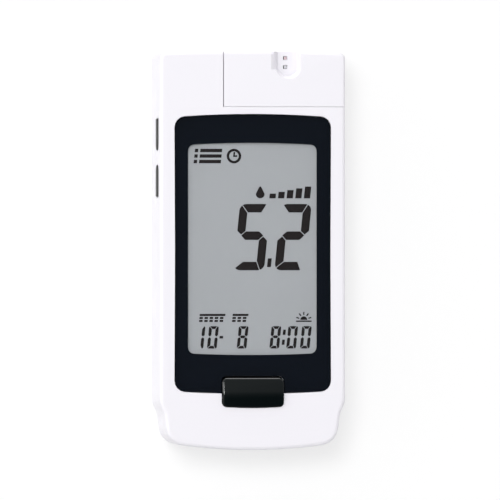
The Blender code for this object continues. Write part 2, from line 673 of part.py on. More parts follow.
def make_front_housing():
    rim = [(RIM_BOTTOM, 0)]
    shell = stepped_form(
        "front_housing", rim + front_edge(FACE, FACE_EDGE_RADIUS),
        0, COVER_SHELF_HEIGHT, CARRIER_INSET, CARRIER_TOP,
    )
    cavity = stepped_form(
        "cavity", [(RIM_BOTTOM - OVERRUN, CASE_WALL), (FACE - FACE_SKIN, CASE_WALL)],
        COVER_CARRIER_SKIN, COVER_SHELF_HEIGHT - COVER_CARRIER_SKIN,
        CARRIER_CAVITY_INSET, CARRIER_CAVITY_TOP,
    )
    cut(shell, cavity)
    cut(shell, body_form(
        "rim_relief", [(RIM_BOTTOM - OVERRUN, RELIEF_INSET), (RELIEF_TOP, RELIEF_INSET)]
    ))
    seat_outline = rounded(grown(lens_corners(), LENS_CLEARANCE + LENS_SEAT_RIB))
    fuse(shell, prism("lens_seat", seat_outline, LEDGE_BOTTOM, FACE - FACE_SKIN / 2))
    for x, y in BOSS_PLACES:
        under_cover = x > COVER_LEFT and y > COVER_FRONT_EDGE
        skin_top = CARRIER_TOP if under_cover else FACE
        boss_top = skin_top - COVER_CARRIER_SKIN / 2
        boss = prism("boss", circle(x, y, FRONT_BOSS_RADIUS), RIM_BOTTOM, boss_top)
        fuse(shell, boss)
        hole = circle(x, y, SCREW_RADIUS + FIT_GAP)
        hole_top = COUNTERBORE_DEPTH - FIT_GAP + SCREW_LENGTH + FIT_GAP
        cut(shell, prism("screw_hole", hole, RIM_BOTTOM - OVERRUN, hole_top))
    lens_recess = rounded(grown(lens_corners(), LENS_CLEARANCE))
    cut(shell, prism("lens_recess", lens_recess, LEDGE_TOP, FACE + OVERRUN))
    view_opening = rounded(grown(view_corners(), VIEW_EDGE_REVEAL))
    cut(shell, prism("view_opening", view_opening, LEDGE_BOTTOM - OVERRUN, FACE + OVERRUN))
    button_opening = rounded(grown(button_corners(), BUTTON_CLEARANCE))
    cut(shell, prism("button_opening", button_opening, LEDGE_BOTTOM - OVERRUN, FACE + OVERRUN))
    for y, flip in ((UPPER_KEY_Y, True), (LOWER_KEY_Y, False)):
        slot = key_outline(y, SIDE_KEY_CLEARANCE, flip)
        start, end = -HALF_WIDTH - OVERRUN, -KEY_FLANGE_OUTER
        cut(shell, side_prism("key_slot", slot, start, end))
    guide_half_width = GUIDE_HALF_WIDTH + FIT_GAP
    cut(shell, box(
        "guide_slot", STRIP_X - guide_half_width, STRIP_X + guide_half_width,
        GUIDE_START - FIT_GAP, HALF_LENGTH + OVERRUN, GUIDE_BOTTOM - FIT_GAP, FACE + OVERRUN,
    ))
    rib_top = FACE - COVER_RIB_DROP
    groove_floor = HALF_WIDTH - COVER_SKIN - COVER_RIB_DEPTH - FIT_GAP
    cut(shell, box(
        "rib_groove", groove_floor, HALF_WIDTH - COVER_SKIN,
        COVER_FRONT_EDGE + SEAM_GAP, HALF_LENGTH + OVERRUN,
        rib_top - COVER_RIB_HEIGHT - FIT_GAP, rib_top + FIT_GAP,
    ))
    give_finish(smoothed(shell), "white_plastic")


def make_rear_housing():
    shell = body_form("rear_housing", back_edge(BACK_EDGE_RADIUS) + [(REAR_TOP, 0)])
    cavity = [(BACK_SKIN, CASE_WALL + BACK_EDGE_RADIUS - BACK_SKIN), (BACK_EDGE_RADIUS, CASE_WALL),
              (REAR_TOP + OVERRUN, CASE_WALL)]
    cut(shell, body_form("cavity", cavity))
    lip_root = REAR_TOP - RIM_LIP_HEIGHT
    lip = body_form("lip", [(lip_root, LIP_OUTER_INSET), (LIP_TOP, LIP_OUTER_INSET)])
    bore = [(lip_root - OVERRUN, CASE_WALL), (LIP_TOP + OVERRUN, CASE_WALL)]
    fuse(shell, cut(lip, body_form("lip_bore", bore)))
    floor = BACK_SKIN / 2
    tub_half_width = TUB_HALF_WIDTH + TUB_WALL
    fuse(shell, box(
        "tub", -tub_half_width, tub_half_width,
        TUB_LOWER_END - TUB_WALL, TUB_UPPER_OUTSIDE, floor, ROOF_TOP,
    ))
    groove_half_width = DOOR_HALF_WIDTH + DOOR_TONGUE_WIDTH + FIT_GAP
    rail_half_width = groove_half_width + RAIL_WIDTH
    fuse(shell, box(
        "rails", -rail_half_width, rail_half_width, TUB_LOWER_END - TUB_WALL,
        DOOR_UPPER_END + LATCH_REACH + RAIL_WIDTH, floor, BACK_SKIN + RAIL_HEIGHT,
    ))
    for x, y in BOSS_PLACES:
        fuse(shell, prism("boss", circle(x, y, REAR_BOSS_RADIUS), floor, REAR_TOP))
        cut(shell, prism(
            "counterbore", circle(x, y, COUNTERBORE_RADIUS), -OVERRUN, COUNTERBORE_DEPTH
        ))
        cut(shell, prism(
            "screw_hole", circle(x, y, SCREW_RADIUS + FIT_GAP), floor, REAR_TOP + OVERRUN
        ))
    for x in (-POST_X, POST_X):
        fuse(shell, prism("post", circle(x, POST_Y, POST_RADIUS), floor, ROOF_TOP))
    cut(shell, box(
        "cell_space", -TUB_HALF_WIDTH, TUB_HALF_WIDTH,
        TUB_LOWER_END, TUB_UPPER_END, -OVERRUN, ROOF_BOTTOM,
    ))
    door_space = rectangle(
        -DOOR_HALF_WIDTH - FIT_GAP, DOOR_HALF_WIDTH + FIT_GAP, -HALF_LENGTH - OVERRUN,
        DOOR_UPPER_END + FIT_GAP, DOOR_CORNER_RADIUS + FIT_GAP, WIDE_CORNER_STEPS,
    )
    cut(shell, prism("door_space", rounded(door_space), -OVERRUN, CELL_BOTTOM))
    tongue_bottom = BACK_SKIN - DOOR_TONGUE_HEIGHT - FIT_GAP
    cut(shell, box(
        "tongue_grooves", -groove_half_width, groove_half_width, -HALF_LENGTH - OVERRUN,
        DOOR_UPPER_END - DOOR_TONGUE_MARGIN + FIT_GAP, tongue_bottom, CELL_BOTTOM,
    ))
    latch_half_width = LATCH_WIDTH / 2 + FIT_GAP
    cut(shell, box(
        "latch_slot", -latch_half_width, latch_half_width, TUB_UPPER_OUTSIDE,
        DOOR_UPPER_END + LATCH_REACH + FIT_GAP, tongue_bottom, CELL_BOTTOM,
    ))
    tab_half_width = CONTACT_TAB_WIDTH / 2 + FIT_GAP
    tab_front = TUB_UPPER_END - FIT_GAP - CONTACT_PLATE - FIT_GAP
    for x in (-CELL_X, CELL_X):
        cut(shell, box(
            "tab_slot", x - tab_half_width, x + tab_half_width, tab_front, TUB_UPPER_END,
            ROOF_BOTTOM - ROOF_SKIN, ROOF_TOP + OVERRUN,
        ))
    give_finish(smoothed(shell), "white_plastic")


def scoop_ring(share, height):
    """The scoop seen from above: half an oval that runs out through the top end. Along its
    left side a recess widens it and stops square. share goes from 0 at the floor to 1 at
    the face; the recess slopes down to nothing at the floor."""
    half_width = SCOOP_FLOOR_HALF_WIDTH + (SCOOP_HALF_WIDTH - SCOOP_FLOOR_HALF_WIDTH) * share
    bowl = SCOOP_FLOOR_BOWL + (SCOOP_BOWL - SCOOP_FLOOR_BOWL) * share
    x = STRIP_X + SCOOP_SHIFT
    floor_left = x - SCOOP_FLOOR_HALF_WIDTH
    left = floor_left + (STRIP_X - SCOOP_RECESS_WIDTH - floor_left) * share
    start = math.pi + math.asin(SCOOP_RECESS_REACH / bowl)
    sweep = 2 * math.pi - start
    angles = [start + sweep * step / SCOOP_STEPS for step in range(SCOOP_STEPS + 1)]
    oval = [
        (x + half_width * math.cos(a), SCOOP_CENTER_Y + bowl * math.sin(a), height)
        for a in angles
    ]
    mouth = HALF_LENGTH + OVERRUN
    recess_end = SCOOP_CENTER_Y - SCOOP_RECESS_REACH
    return [
        (left, mouth, height), (left, recess_end, height), *oval,
        (x + half_width, mouth, height),
    ]


def scoop_tool():
    """The finger scoop: a straight-walled floor, then a flare of two slopes."""
    slot_top = SCOOP_FLOOR + STRIP_SLOT_HEIGHT
    break_height = FACE - (FACE - slot_top) * SCOOP_BREAK_HEIGHT_SHARE
    return loft("scoop", [
        scoop_ring(0, SCOOP_FLOOR),
        scoop_ring(0, slot_top),
        scoop_ring(SCOOP_BREAK_SHARE, break_height),
        scoop_ring(1, FACE),
        scoop_ring(1, FACE + OVERRUN),
    ])


def port_window_outline(index, gap):
    y = HALF_LENGTH - PORT_WINDOW_FROM_TOP - index * PORT_WINDOW_PITCH
    half_width = PORT_WINDOW_WIDTH / 2 - gap
    half_length = PORT_WINDOW_LENGTH / 2 - gap
    left, right = STRIP_X - half_width, STRIP_X + half_width
    return [
        (left, y - half_length), (right, y - half_length),
        (right, y + half_length), (left, y + half_length),
    ]


def make_strip_port_cover():
    cover = body_form(
        "strip_port_cover", [(RIM_BOTTOM, 0)] + front_edge(FACE, FACE_EDGE_RADIUS)
    )
    keep_inside(cover, port_block(
        "port_block", -SEAM_GAP, -COVER_STOP_GAP, COVER_SHELF_HEIGHT + SEAM_GAP
    ))
    hollow = [(RIM_BOTTOM - OVERRUN, COVER_SKIN), (FACE - COVER_SKIN, COVER_SKIN)]
    cut(cover, body_form("hollow", hollow))
    inside_end = HALF_LENGTH - COVER_SKIN / 2
    fuse(cover, box(
        "strip_guide", STRIP_X - GUIDE_HALF_WIDTH, STRIP_X + GUIDE_HALF_WIDTH,
        GUIDE_START, inside_end, GUIDE_BOTTOM, FACE - COVER_SKIN / 2,
    ))
    rib_top = FACE - COVER_RIB_DROP
    rib_face = HALF_WIDTH - COVER_SKIN - COVER_RIB_DEPTH
    fuse(cover, box(
        "rib", rib_face, HALF_WIDTH - COVER_SKIN / 2,
        COVER_FRONT_EDGE + SEAM_GAP + COVER_RIB_MARGIN, HALF_LENGTH - COVER_SKIN - COVER_RIB_MARGIN,
        rib_top - COVER_RIB_HEIGHT, rib_top,
    ))
    slot_half_width = STRIP_SLOT_WIDTH / 2
    cut(cover, box(
        "strip_slot", STRIP_X - slot_half_width, STRIP_X + slot_half_width,
        GUIDE_START - OVERRUN, HALF_LENGTH + OVERRUN, SCOOP_FLOOR, SCOOP_FLOOR + STRIP_SLOT_HEIGHT,
    ))
    cut(cover, scoop_tool())
    notch_left = STRIP_X - SCOOP_RECESS_WIDTH + NOTCH_FROM_SCOOP_EDGE
    cut(cover, box(
        "notch", notch_left, notch_left + NOTCH_WIDTH,
        HALF_LENGTH - NOTCH_LENGTH, HALF_LENGTH + OVERRUN, FACE - NOTCH_DEPTH, FACE + OVERRUN,
    ))
    for index in range(2):
        outline = port_window_outline(index, 0)
        cut(cover, prism("window", outline, GUIDE_BOTTOM - FIT_GAP, SCOOP_FLOOR + FIT_GAP))
    place = (STRIP_X, HALF_LENGTH - COVER_LENGTH / 2, FACE)
    give_finish(with_origin(smoothed(cover), place), "white_plastic")
    for index, (name, finish) in enumerate(
        (("port_window_upper", "red_window"), ("port_window_lower", "violet_window"))
    ):
        top = SCOOP_FLOOR - PORT_WINDOW_SINK
        window = prism(name, port_window_outline(index, INSERT_GAP), GUIDE_BOTTOM, top)
        give_finish(window, finish)


def make_window_pieces():
    notch = rounded(grown(button_corners(), FIT_GAP))
    lens = prism("display_lens", rounded(lens_corners()), LENS_BOTTOM, LENS_TOP)
    cut(lens, prism("notch", notch, LENS_BOTTOM - OVERRUN, LENS_TOP + OVERRUN))
    give_finish(lens, "window_plastic")
    gasket_top = GASKET_BOTTOM + GASKET_THICKNESS
    gasket = prism(
        "lens_gasket", rounded(grown(lens_corners(), -GASKET_MARGIN)), GASKET_BOTTOM, gasket_top
    )
    cut(gasket, prism(
        "aperture", rounded(view_corners()), GASKET_BOTTOM - OVERRUN, gasket_top + OVERRUN
    ))
    wide_notch = rounded(grown(button_corners(), FIT_GAP + GASKET_MARGIN))
    cut(gasket, prism("notch", wide_notch, GASKET_BOTTOM - OVERRUN, gasket_top + OVERRUN))
    give_finish(gasket, "adhesive_foam")


def make_display():
    panel = box(
        "lcd_panel", -GLASS_HALF_WIDTH, GLASS_HALF_WIDTH,
        GLASS_LOWER_END, GLASS_UPPER_END, GLASS_BOTTOM, GLASS_TOP,
    )
    cut(panel, box(
        "contact_step", -HALF_WIDTH, HALF_WIDTH, GLASS_LOWER_END - OVERRUN,
        GLASS_LOWER_END + CONTACT_LEDGE, GLASS_BOTTOM - OVERRUN, GLASS_STEP_HEIGHT,
    ))
    give_finish(panel, "display_glass")
    strip_low = GLASS_LOWER_END + (CONTACT_LEDGE - ELASTOMER_DEPTH) / 2
    strip = box(
        "elastomer_connector", -GLASS_HALF_WIDTH + GLASS_MARGIN, GLASS_HALF_WIDTH - GLASS_MARGIN,
        strip_low, strip_low + ELASTOMER_DEPTH, ELASTOMER_BOTTOM, ELASTOMER_TOP,
    )
    give_finish(strip, "grey_rubber")


def holder_peg_places():
    x = HOLDER_HALF_WIDTH - HOLDER_WALL
    for y in (GLASS_LOWER_END + PEG_INSET, GLASS_UPPER_END - PEG_INSET):
        yield -x, y
        yield x, y


def make_lcd_holder():
    """A frame round the glass, with a lip under its rim and pegs into the board."""
    frame = FIT_GAP + HOLDER_WALL
    low, high = GLASS_LOWER_END, GLASS_UPPER_END
    bottom, top = ELASTOMER_BOTTOM, GLASS_TOP
    outline = rectangle(
        -HOLDER_HALF_WIDTH, HOLDER_HALF_WIDTH, low - frame, high + frame, HOLDER_WALL, CORNER_STEPS
    )
    holder = prism("lcd_holder", rounded(outline), bottom, top)
    pocket_half_width = GLASS_HALF_WIDTH + FIT_GAP
    cut(holder, box(
        "pocket", -pocket_half_width, pocket_half_width, low - FIT_GAP, high + FIT_GAP,
        bottom + HOLDER_FLOOR, top + OVERRUN,
    ))
    opening_half_width = GLASS_HALF_WIDTH - HOLDER_LIP
    cut(holder, box(
        "opening", -opening_half_width, opening_half_width, low + CONTACT_LEDGE + HOLDER_LIP,
        high - HOLDER_LIP, bottom - OVERRUN, top + OVERRUN,
    ))
    cut(holder, box(
        "connector_slot", -pocket_half_width, pocket_half_width, low - FIT_GAP,
        low + CONTACT_LEDGE, bottom - OVERRUN, top + OVERRUN,
    ))
    for x, y in holder_peg_places():
        peg_bottom = BOARD_BOTTOM
        fuse(holder, prism(
            "peg", circle(x, y, PEG_RADIUS, ROUND_STEPS // 2), peg_bottom, bottom + HOLDER_FLOOR / 2
        ))
    give_finish(smoothed(holder), "grey_plastic")


def make_main_board():
    """The board: cut away at the four bosses and at the side key board."""
    boss_room = FRONT_BOSS_RADIUS + FIT_GAP
    low, high = BOARD_FROM_BOTTOM - HALF_LENGTH, HALF_LENGTH - CARRIER_CAVITY_INSET - FIT_GAP
    lower_x, lower_y = LOWER_BOSS_X - boss_room, LOWER_BOSS_Y + boss_room
    upper_x, upper_y = UPPER_BOSS_X - boss_room, UPPER_BOSS_Y - boss_room
    wide = KEY_FLANGE_PRESSED - FIT_GAP
    notch_x = SIDE_BOARD_INNER - FIT_GAP
    notch_low, notch_high = SIDE_BOARD_LOWER_END - FIT_GAP, SIDE_BOARD_UPPER_END + FIT_GAP
    places = [
        (-lower_x, low), (lower_x, low), (lower_x, lower_y), (wide, lower_y),
        (wide, upper_y), (upper_x, upper_y), (upper_x, high), (-upper_x, high),
        (-upper_x, upper_y), (-wide, upper_y), (-wide, notch_high), (-notch_x, notch_high),
        (-notch_x, notch_low), (-wide, notch_low), (-wide, lower_y), (-lower_x, lower_y),
    ]
    corners = [(x, y, BOARD_CORNER_RADIUS, 2) for x, y in places]
    board = prism("main_board", rounded(corners), BOARD_BOTTOM, BOARD_TOP)
    for x, y in holder_peg_places():
        hole = circle(x, y, PEG_RADIUS + FIT_GAP, ROUND_STEPS // 2)
        cut(board, prism("peg_hole", hole, BOARD_BOTTOM - OVERRUN, BOARD_TOP + OVERRUN))
    give_finish(board, "circuit_board")


def hanging_chip(name, x, y, width, length, thickness, finish):
    """A component on the underside of the board."""
    top = BOARD_BOTTOM - FIT_GAP
    chip = box(
        name, x - width / 2, x + width / 2, y - length / 2, y + length / 2, top - thickness, top
    )
    return give_finish(bevelled(chip, CHIP_BEVEL, 1), finish)


def make_board_components():
    first_row = TUB_UPPER_OUTSIDE + CHIP_MARGIN
    processor_x = CHIP_SPACING / 2 + PROCESSOR_SIZE / 2
    hanging_chip(
        "processor_chip", processor_x, first_row + PROCESSOR_SIZE / 2,
        PROCESSOR_SIZE, PROCESSOR_SIZE, PROCESSOR_THICKNESS, "chip_resin",
    )
    second_row = first_row + PROCESSOR_SIZE + CHIP_SPACING
    hanging_chip(
        "memory_chip", processor_x, second_row + MEMORY_LENGTH / 2,
        MEMORY_WIDTH, MEMORY_LENGTH, MEMORY_THICKNESS, "chip_resin",
    )
    top = BOARD_BOTTOM - FIT_GAP
    crystal = turned(
        "quartz_crystal",
        [(CRYSTAL_RADIUS, -CRYSTAL_LENGTH / 2), (CRYSTAL_RADIUS, CRYSTAL_LENGTH / 2)],
        ROUND_STEPS // 2,
    )
    lying = Matrix.Rotation(math.pi / 2, 4, "Y")
    crystal_y = second_row + MEMORY_LENGTH / 2
    place = Matrix.Translation((-processor_x, crystal_y, top - CRYSTAL_RADIUS))
    give_finish(smoothed(moved(crystal, place @ lying)), "plated_steel")
    buzzer_x, buzzer_y = -CHIP_SPACING / 2 - BUZZER_RADIUS, first_row + BUZZER_RADIUS
    buzzer = prism(
        "buzzer", circle(buzzer_x, buzzer_y, BUZZER_RADIUS), top - BUZZER_THICKNESS, top
    )
    sound_hole = circle(buzzer_x, buzzer_y, BUZZER_HOLE_RADIUS, ROUND_STEPS // 2)
    hole_floor = top - BUZZER_THICKNESS + BUZZER_HOLE_DEPTH
    cut(buzzer, prism("sound_hole", sound_hole, top - BUZZER_THICKNESS - OVERRUN, hole_floor))
    give_finish(smoothed(buzzer), "black_plastic")


def make_optical_sensor():
    """The reading head on the board, under the cover's two small windows."""
    board_end = HALF_LENGTH - CARRIER_CAVITY_INSET - FIT_GAP
    high = board_end - SENSOR_END_GAP
    outline = rectangle(
        STRIP_X - SENSOR_WIDTH / 2, STRIP_X + SENSOR_WIDTH / 2, high - SENSOR_LENGTH, high,
        SENSOR_CORNER_RADIUS, CORNER_STEPS,
    )
    top = GUIDE_BOTTOM - FIT_GAP
    sensor = prism("optical_sensor", rounded(outline), BOARD_TOP + FIT_GAP, top)
    for side in (-1, 1):
        y = high - SENSOR_LENGTH / 2 + side * SENSOR_LENGTH / 4
        eye = circle(STRIP_X, y, SENSOR_EYE_RADIUS, ROUND_STEPS // 2)
        cut(sensor, prism("eye", eye, top - SENSOR_EYE_DEPTH, top + OVERRUN))
    give_finish(smoothed(sensor), "black_plastic")


def make_main_button():
    """A cap with two slopes that meet in a ridge, on a flange under the face."""
    outline = rounded(button_corners())
    half_height = BUTTON_HEIGHT / 2
    slope = (BUTTON_RIDGE_RISE - BUTTON_EDGE_RISE) / half_height

    def roof_height(y):
        return FACE + BUTTON_RIDGE_RISE - slope * abs(y - BUTTON_RIDGE_Y)

    half_width = BUTTON_WIDTH / 2
    right_end, left_end = (half_width, BUTTON_RIDGE_Y), (-half_width, BUTTON_RIDGE_Y)
    above = [y > BUTTON_RIDGE_Y for x, y in outline]
    right_at = above.index(True)
    left_at = above.index(False, right_at)
    points = [*outline[:right_at], right_end, *outline[right_at:left_at], left_end,
              *outline[left_at:]]
    mesh = bmesh.new()
    foot_height = BUTTON_BOTTOM + BUTTON_FLANGE / 2
    foot = [mesh.verts.new((x, y, foot_height)) for x, y in points]
    roof = [mesh.verts.new((x, y, roof_height(y))) for x, y in points]
    for index, corner in enumerate(foot):
        following = (index + 1) % len(foot)
        mesh.faces.new((corner, foot[following], roof[following], roof[index]))
    ridge_start, ridge_end = right_at, left_at + 1
    mesh.faces.new(roof[ridge_start:ridge_end + 1])
    mesh.faces.new(roof[ridge_end:] + roof[:ridge_start + 1])
    mesh.faces.new(tuple(reversed(foot)))
    bmesh.ops.recalc_face_normals(mesh, faces=mesh.faces)
    data = bpy.data.meshes.new("main_button")
    mesh.to_mesh(data)
    mesh.free()
    button = bpy.data.objects.new("main_button", data)
    bpy.context.collection.objects.link(button)
    bevelled(button, BUTTON_BEVEL)
    flange = rounded(grown(button_corners(), BUTTON_FLANGE_REACH))
    fuse(button, prism("flange", flange, BUTTON_BOTTOM, BUTTON_FLANGE_TOP))
    give_finish(with_origin(smoothed(button), (0, BUTTON_Y, FACE)), "black_plastic")


def make_main_switch():
    half = SWITCH_SIZE / 2
    bottom = BOARD_TOP + FIT_GAP
    outline = rectangle(
        -half, half, BUTTON_Y - half, BUTTON_Y + half, SWITCH_CORNER_RADIUS, CORNER_STEPS
    )
    switch = prism("main_switch", rounded(outline), bottom, bottom + SWITCH_BODY)
    plunger_top = BUTTON_BOTTOM - BUTTON_TRAVEL - SWITCH_PLUNGER_GAP
    plunger = circle(0, BUTTON_Y, SWITCH_PLUNGER_RADIUS)
    fuse(switch, prism("plunger", plunger, bottom + SWITCH_BODY / 2, plunger_top))
    give_finish(smoothed(switch), "black_plastic")


def make_side_keys():
    for name, y, flip in (
        ("side_key_upper", UPPER_KEY_Y, True), ("side_key_lower", LOWER_KEY_Y, False)
    ):
        outer_face = -HALF_WIDTH - SIDE_KEY_PROUD
        flange_middle = -KEY_FLANGE_OUTER + SIDE_KEY_FLANGE / 2
        key = side_prism(name, key_outline(y, 0, flip), outer_face, flange_middle)
        bevelled(key, SIDE_KEY_BEVEL)
        flange_outline = key_outline(y, SIDE_KEY_FLANGE_REACH, flip)
        fuse(key, side_prism("flange", flange_outline, -KEY_FLANGE_OUTER, -KEY_FLANGE_INNER))
        place = (outer_face, y, KEY_MIDDLE_HEIGHT)
        give_finish(with_origin(smoothed(key), place), "key_rubber")


def make_side_switches():
    """A small upright board behind the side keys, with a snap dome for each."""
    board = box(
        "side_key_board", -SIDE_BOARD_OUTER, -SIDE_BOARD_INNER,
        SIDE_BOARD_LOWER_END, SIDE_BOARD_UPPER_END, BOARD_BOTTOM - SIDE_BOARD_DROP, GLASS_TOP,
    )
    give_finish(board, "circuit_board")
    dome_shares = ((1.0, 0.0), (0.98, 0.3), (0.8, 0.68), (0.45, 0.94), (0.12, 1.0))
    profile = [(DOME_RADIUS * across, DOME_RISE * up) for across, up in dome_shares]
    for name, y in (("side_dome_upper", UPPER_KEY_Y), ("side_dome_lower", LOWER_KEY_Y)):
        dome = turned(name, profile, ROUND_STEPS // 2 + ROUND_STEPS // 4)
        facing_left = Matrix.Rotation(-math.pi / 2, 4, "Y")
        place = Matrix.Translation((-DOME_TIP + DOME_RISE, y, KEY_MIDDLE_HEIGHT))
        give_finish(smoothed(moved(dome, place @ facing_left)), "plated_steel")


def make_battery_door():
    """A sliding door whose end follows the case's rounded lower end."""
    door = body_form("battery_door", back_edge(BACK_EDGE_RADIUS) + [(REAR_TOP, 0)])
    slab = rectangle(
        -DOOR_HALF_WIDTH, DOOR_HALF_WIDTH, -HALF_LENGTH - OVERRUN, DOOR_UPPER_END,
        DOOR_CORNER_RADIUS, WIDE_CORNER_STEPS,
    )
    keep_inside(door, prism("slab", rounded(slab), -OVERRUN, BACK_SKIN))
    tongue_half_width = DOOR_HALF_WIDTH + DOOR_TONGUE_WIDTH
    tongue_low = -HALF_LENGTH + BACK_EDGE_RADIUS
    fuse(door, box(
        "tongues", -tongue_half_width, tongue_half_width, tongue_low,
        DOOR_UPPER_END - DOOR_TONGUE_MARGIN, BACK_SKIN - DOOR_TONGUE_HEIGHT, BACK_SKIN,
    ))
    fuse(door, box(
        "latch", -LATCH_WIDTH / 2, LATCH_WIDTH / 2, DOOR_UPPER_END - DOOR_TONGUE_MARGIN,
        DOOR_UPPER_END + LATCH_REACH, BACK_SKIN - DOOR_TONGUE_HEIGHT, BACK_SKIN,
    ))
    for index in range(GRIP_COUNT):
        y = DOOR_UPPER_END - GRIP_FROM_TOP - index * GRIP_PITCH
        cut(door, box(
            "grip_groove", -GRIP_WIDTH / 2, GRIP_WIDTH / 2,
            y - GRIP_GROOVE / 2, y + GRIP_GROOVE / 2, -OVERRUN, GRIP_DEPTH,
        ))
    give_finish(with_origin(smoothed(door), (0, DOOR_UPPER_END, 0)), "white_plastic")


def make_battery_cells():
    body = CELL_LENGTH - CELL_NUB_HEIGHT
    radius = CELL_DIAMETER / 2
    profile = [
        (radius - CELL_EDGE, 0), (radius, CELL_EDGE), (radius, body - CELL_EDGE),
        (radius - CELL_EDGE, body), (radius - CELL_EDGE - CELL_END_RECESS, body),
        (radius - CELL_EDGE - CELL_END_RECESS, body - CELL_END_RECESS),
        (CELL_NUB_RADIUS + CELL_END_RECESS, body - CELL_END_RECESS),
        (CELL_NUB_RADIUS, body), (CELL_NUB_RADIUS, CELL_LENGTH),
    ]
    plate_room = FIT_GAP + CONTACT_PLATE + FIT_GAP
    for name, x, side in (("battery_cell_left", -CELL_X, 1), ("battery_cell_right", CELL_X, -1)):
        cell = turned(name, profile)
        lying = Matrix.Rotation(-side * math.pi / 2, 4, "X")
        nub_end = TUB_UPPER_END - plate_room if side > 0 else TUB_LOWER_END + plate_room
        place = Matrix.Translation((x, nub_end - side * CELL_LENGTH, CELL_AXIS_HEIGHT))
        give_finish(smoothed(moved(cell, place @ lying)), "cell_sleeve")


def contact_plate(name, left, right, low, high, tab_x):
    """An upright plate at the end of the tub, with a tab up to the board if tab_x is given."""
    bottom = CELL_AXIS_HEIGHT - CONTACT_HEIGHT / 2
    top = CELL_AXIS_HEIGHT + CONTACT_HEIGHT / 2
    outline = rounded(rectangle(left, right, bottom, top, CONTACT_CORNER_RADIUS, CORNER_STEPS))
    plate = loft(name, [[(x, y, z) for x, z in outline] for y in (low, high)])
    if tab_x is not None:
        half = CONTACT_TAB_WIDTH / 2
        tab_top = BOARD_BOTTOM - FIT_GAP
        fuse(plate, box("tab", tab_x - half, tab_x + half, low, high, CELL_AXIS_HEIGHT, tab_top))
    return give_finish(plate, "plated_steel")


def contact_spring(name, x, base, side):
    """A coil that narrows from its plate towards the cell, side giving its way along Y."""
    curve = bpy.data.curves.new(name, "CURVE")
    curve.dimensions = "3D"
    curve.bevel_depth = SPRING_WIRE / 2
    curve.bevel_resolution = 1
    curve.use_fill_caps = True
    count = SPRING_TURNS * SPRING_POINTS_PER_TURN + 1
    spline = curve.splines.new("POLY")
    spline.points.add(count - 1)
    rise = SPRING_LENGTH - SPRING_WIRE
    for index, point in enumerate(spline.points):
        share = index / (count - 1)
        angle = math.tau * SPRING_TURNS * share
        radius = SPRING_BASE_RADIUS + (SPRING_TIP_RADIUS - SPRING_BASE_RADIUS) * share
        y = base + side * (SPRING_WIRE / 2 + rise * share)
        across, up = radius * math.cos(angle), radius * math.sin(angle)
        point.co = (x + across, y, CELL_AXIS_HEIGHT + up, 1)
    print(name, "least gap between turns, mm:", (rise / SPRING_TURNS - SPRING_WIRE) / MM)
    spring = bpy.data.objects.new(name, curve)
    bpy.context.collection.objects.link(spring)
    return give_finish(spring, "plated_steel")


def make_battery_contacts():
    upper_back = TUB_UPPER_END - FIT_GAP
    upper_front = upper_back - CONTACT_PLATE
    lower_back = TUB_LOWER_END + FIT_GAP
    lower_front = lower_back + CONTACT_PLATE
    half = CONTACT_WIDTH / 2
    contact_plate(
        "contact_plate_positive", -CELL_X - half, -CELL_X + half, upper_front, upper_back, -CELL_X
    )
    contact_plate(
        "contact_plate_negative", CELL_X - half, CELL_X + half, upper_front, upper_back, CELL_X
    )
    contact_plate(
        "contact_plate_link", -CELL_X - half, CELL_X + half, lower_back, lower_front, None
    )
    contact_spring("contact_spring_left", -CELL_X, lower_front + FIT_GAP, 1)
    contact_spring("contact_spring_right", CELL_X, upper_front - FIT_GAP, -1)


def make_housing_screws():
    head_top = COUNTERBORE_DEPTH - FIT_GAP
    head_bottom = head_top - SCREW_HEAD_HEIGHT
    tip = head_top + SCREW_LENGTH
    profile = [
        (SCREW_HEAD_RADIUS, head_bottom), (SCREW_HEAD_RADIUS, head_top), (SCREW_RADIUS, head_top),
        (SCREW_RADIUS, tip - SCREW_TIP), (SCREW_RADIUS - SCREW_TIP, tip),
    ]
    for index, (x, y) in enumerate(BOSS_PLACES, 1):
        screw = turned(f"housing_screw_{index}", profile, ROUND_STEPS // 2 + ROUND_STEPS // 4)
        reach, half_width = SCREW_RECESS_LENGTH / 2, SCREW_RECESS_WIDTH / 2
        recess_top = head_bottom + SCREW_RECESS_DEPTH
        for across, along in ((reach, half_width), (half_width, reach)):
            cut(screw, box(
                "recess", -across, across, -along, along, head_bottom - OVERRUN, recess_top
            ))
        give_finish(smoothed(moved(screw, Matrix.Translation((x, y, 0)))), "plated_steel")


def main():
    clear_scene()
    make_front_housing()
    make_rear_housing()
    make_strip_port_cover()
    make_window_pieces()
    make_display()
    make_lcd_holder()
    make_main_board()
    make_board_components()
    make_optical_sensor()
    make_main_button()
    make_main_switch()
    make_side_keys()
    make_side_switches()
    make_battery_door()
    make_battery_cells()
    make_battery_contacts()
    make_housing_screws()


main()
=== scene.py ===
# %% [markdown]
# A blood glucose meter, dressed for its picture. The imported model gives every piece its
# place and size, and this script gives it its finish: moulded ABS, a clear window with a
# printed border, a reflective display with its digits, a button and two keys. The model is
# loaded first, because everything below is placed by it.

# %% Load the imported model
import math

import bpy
from mathutils import Matrix, Vector


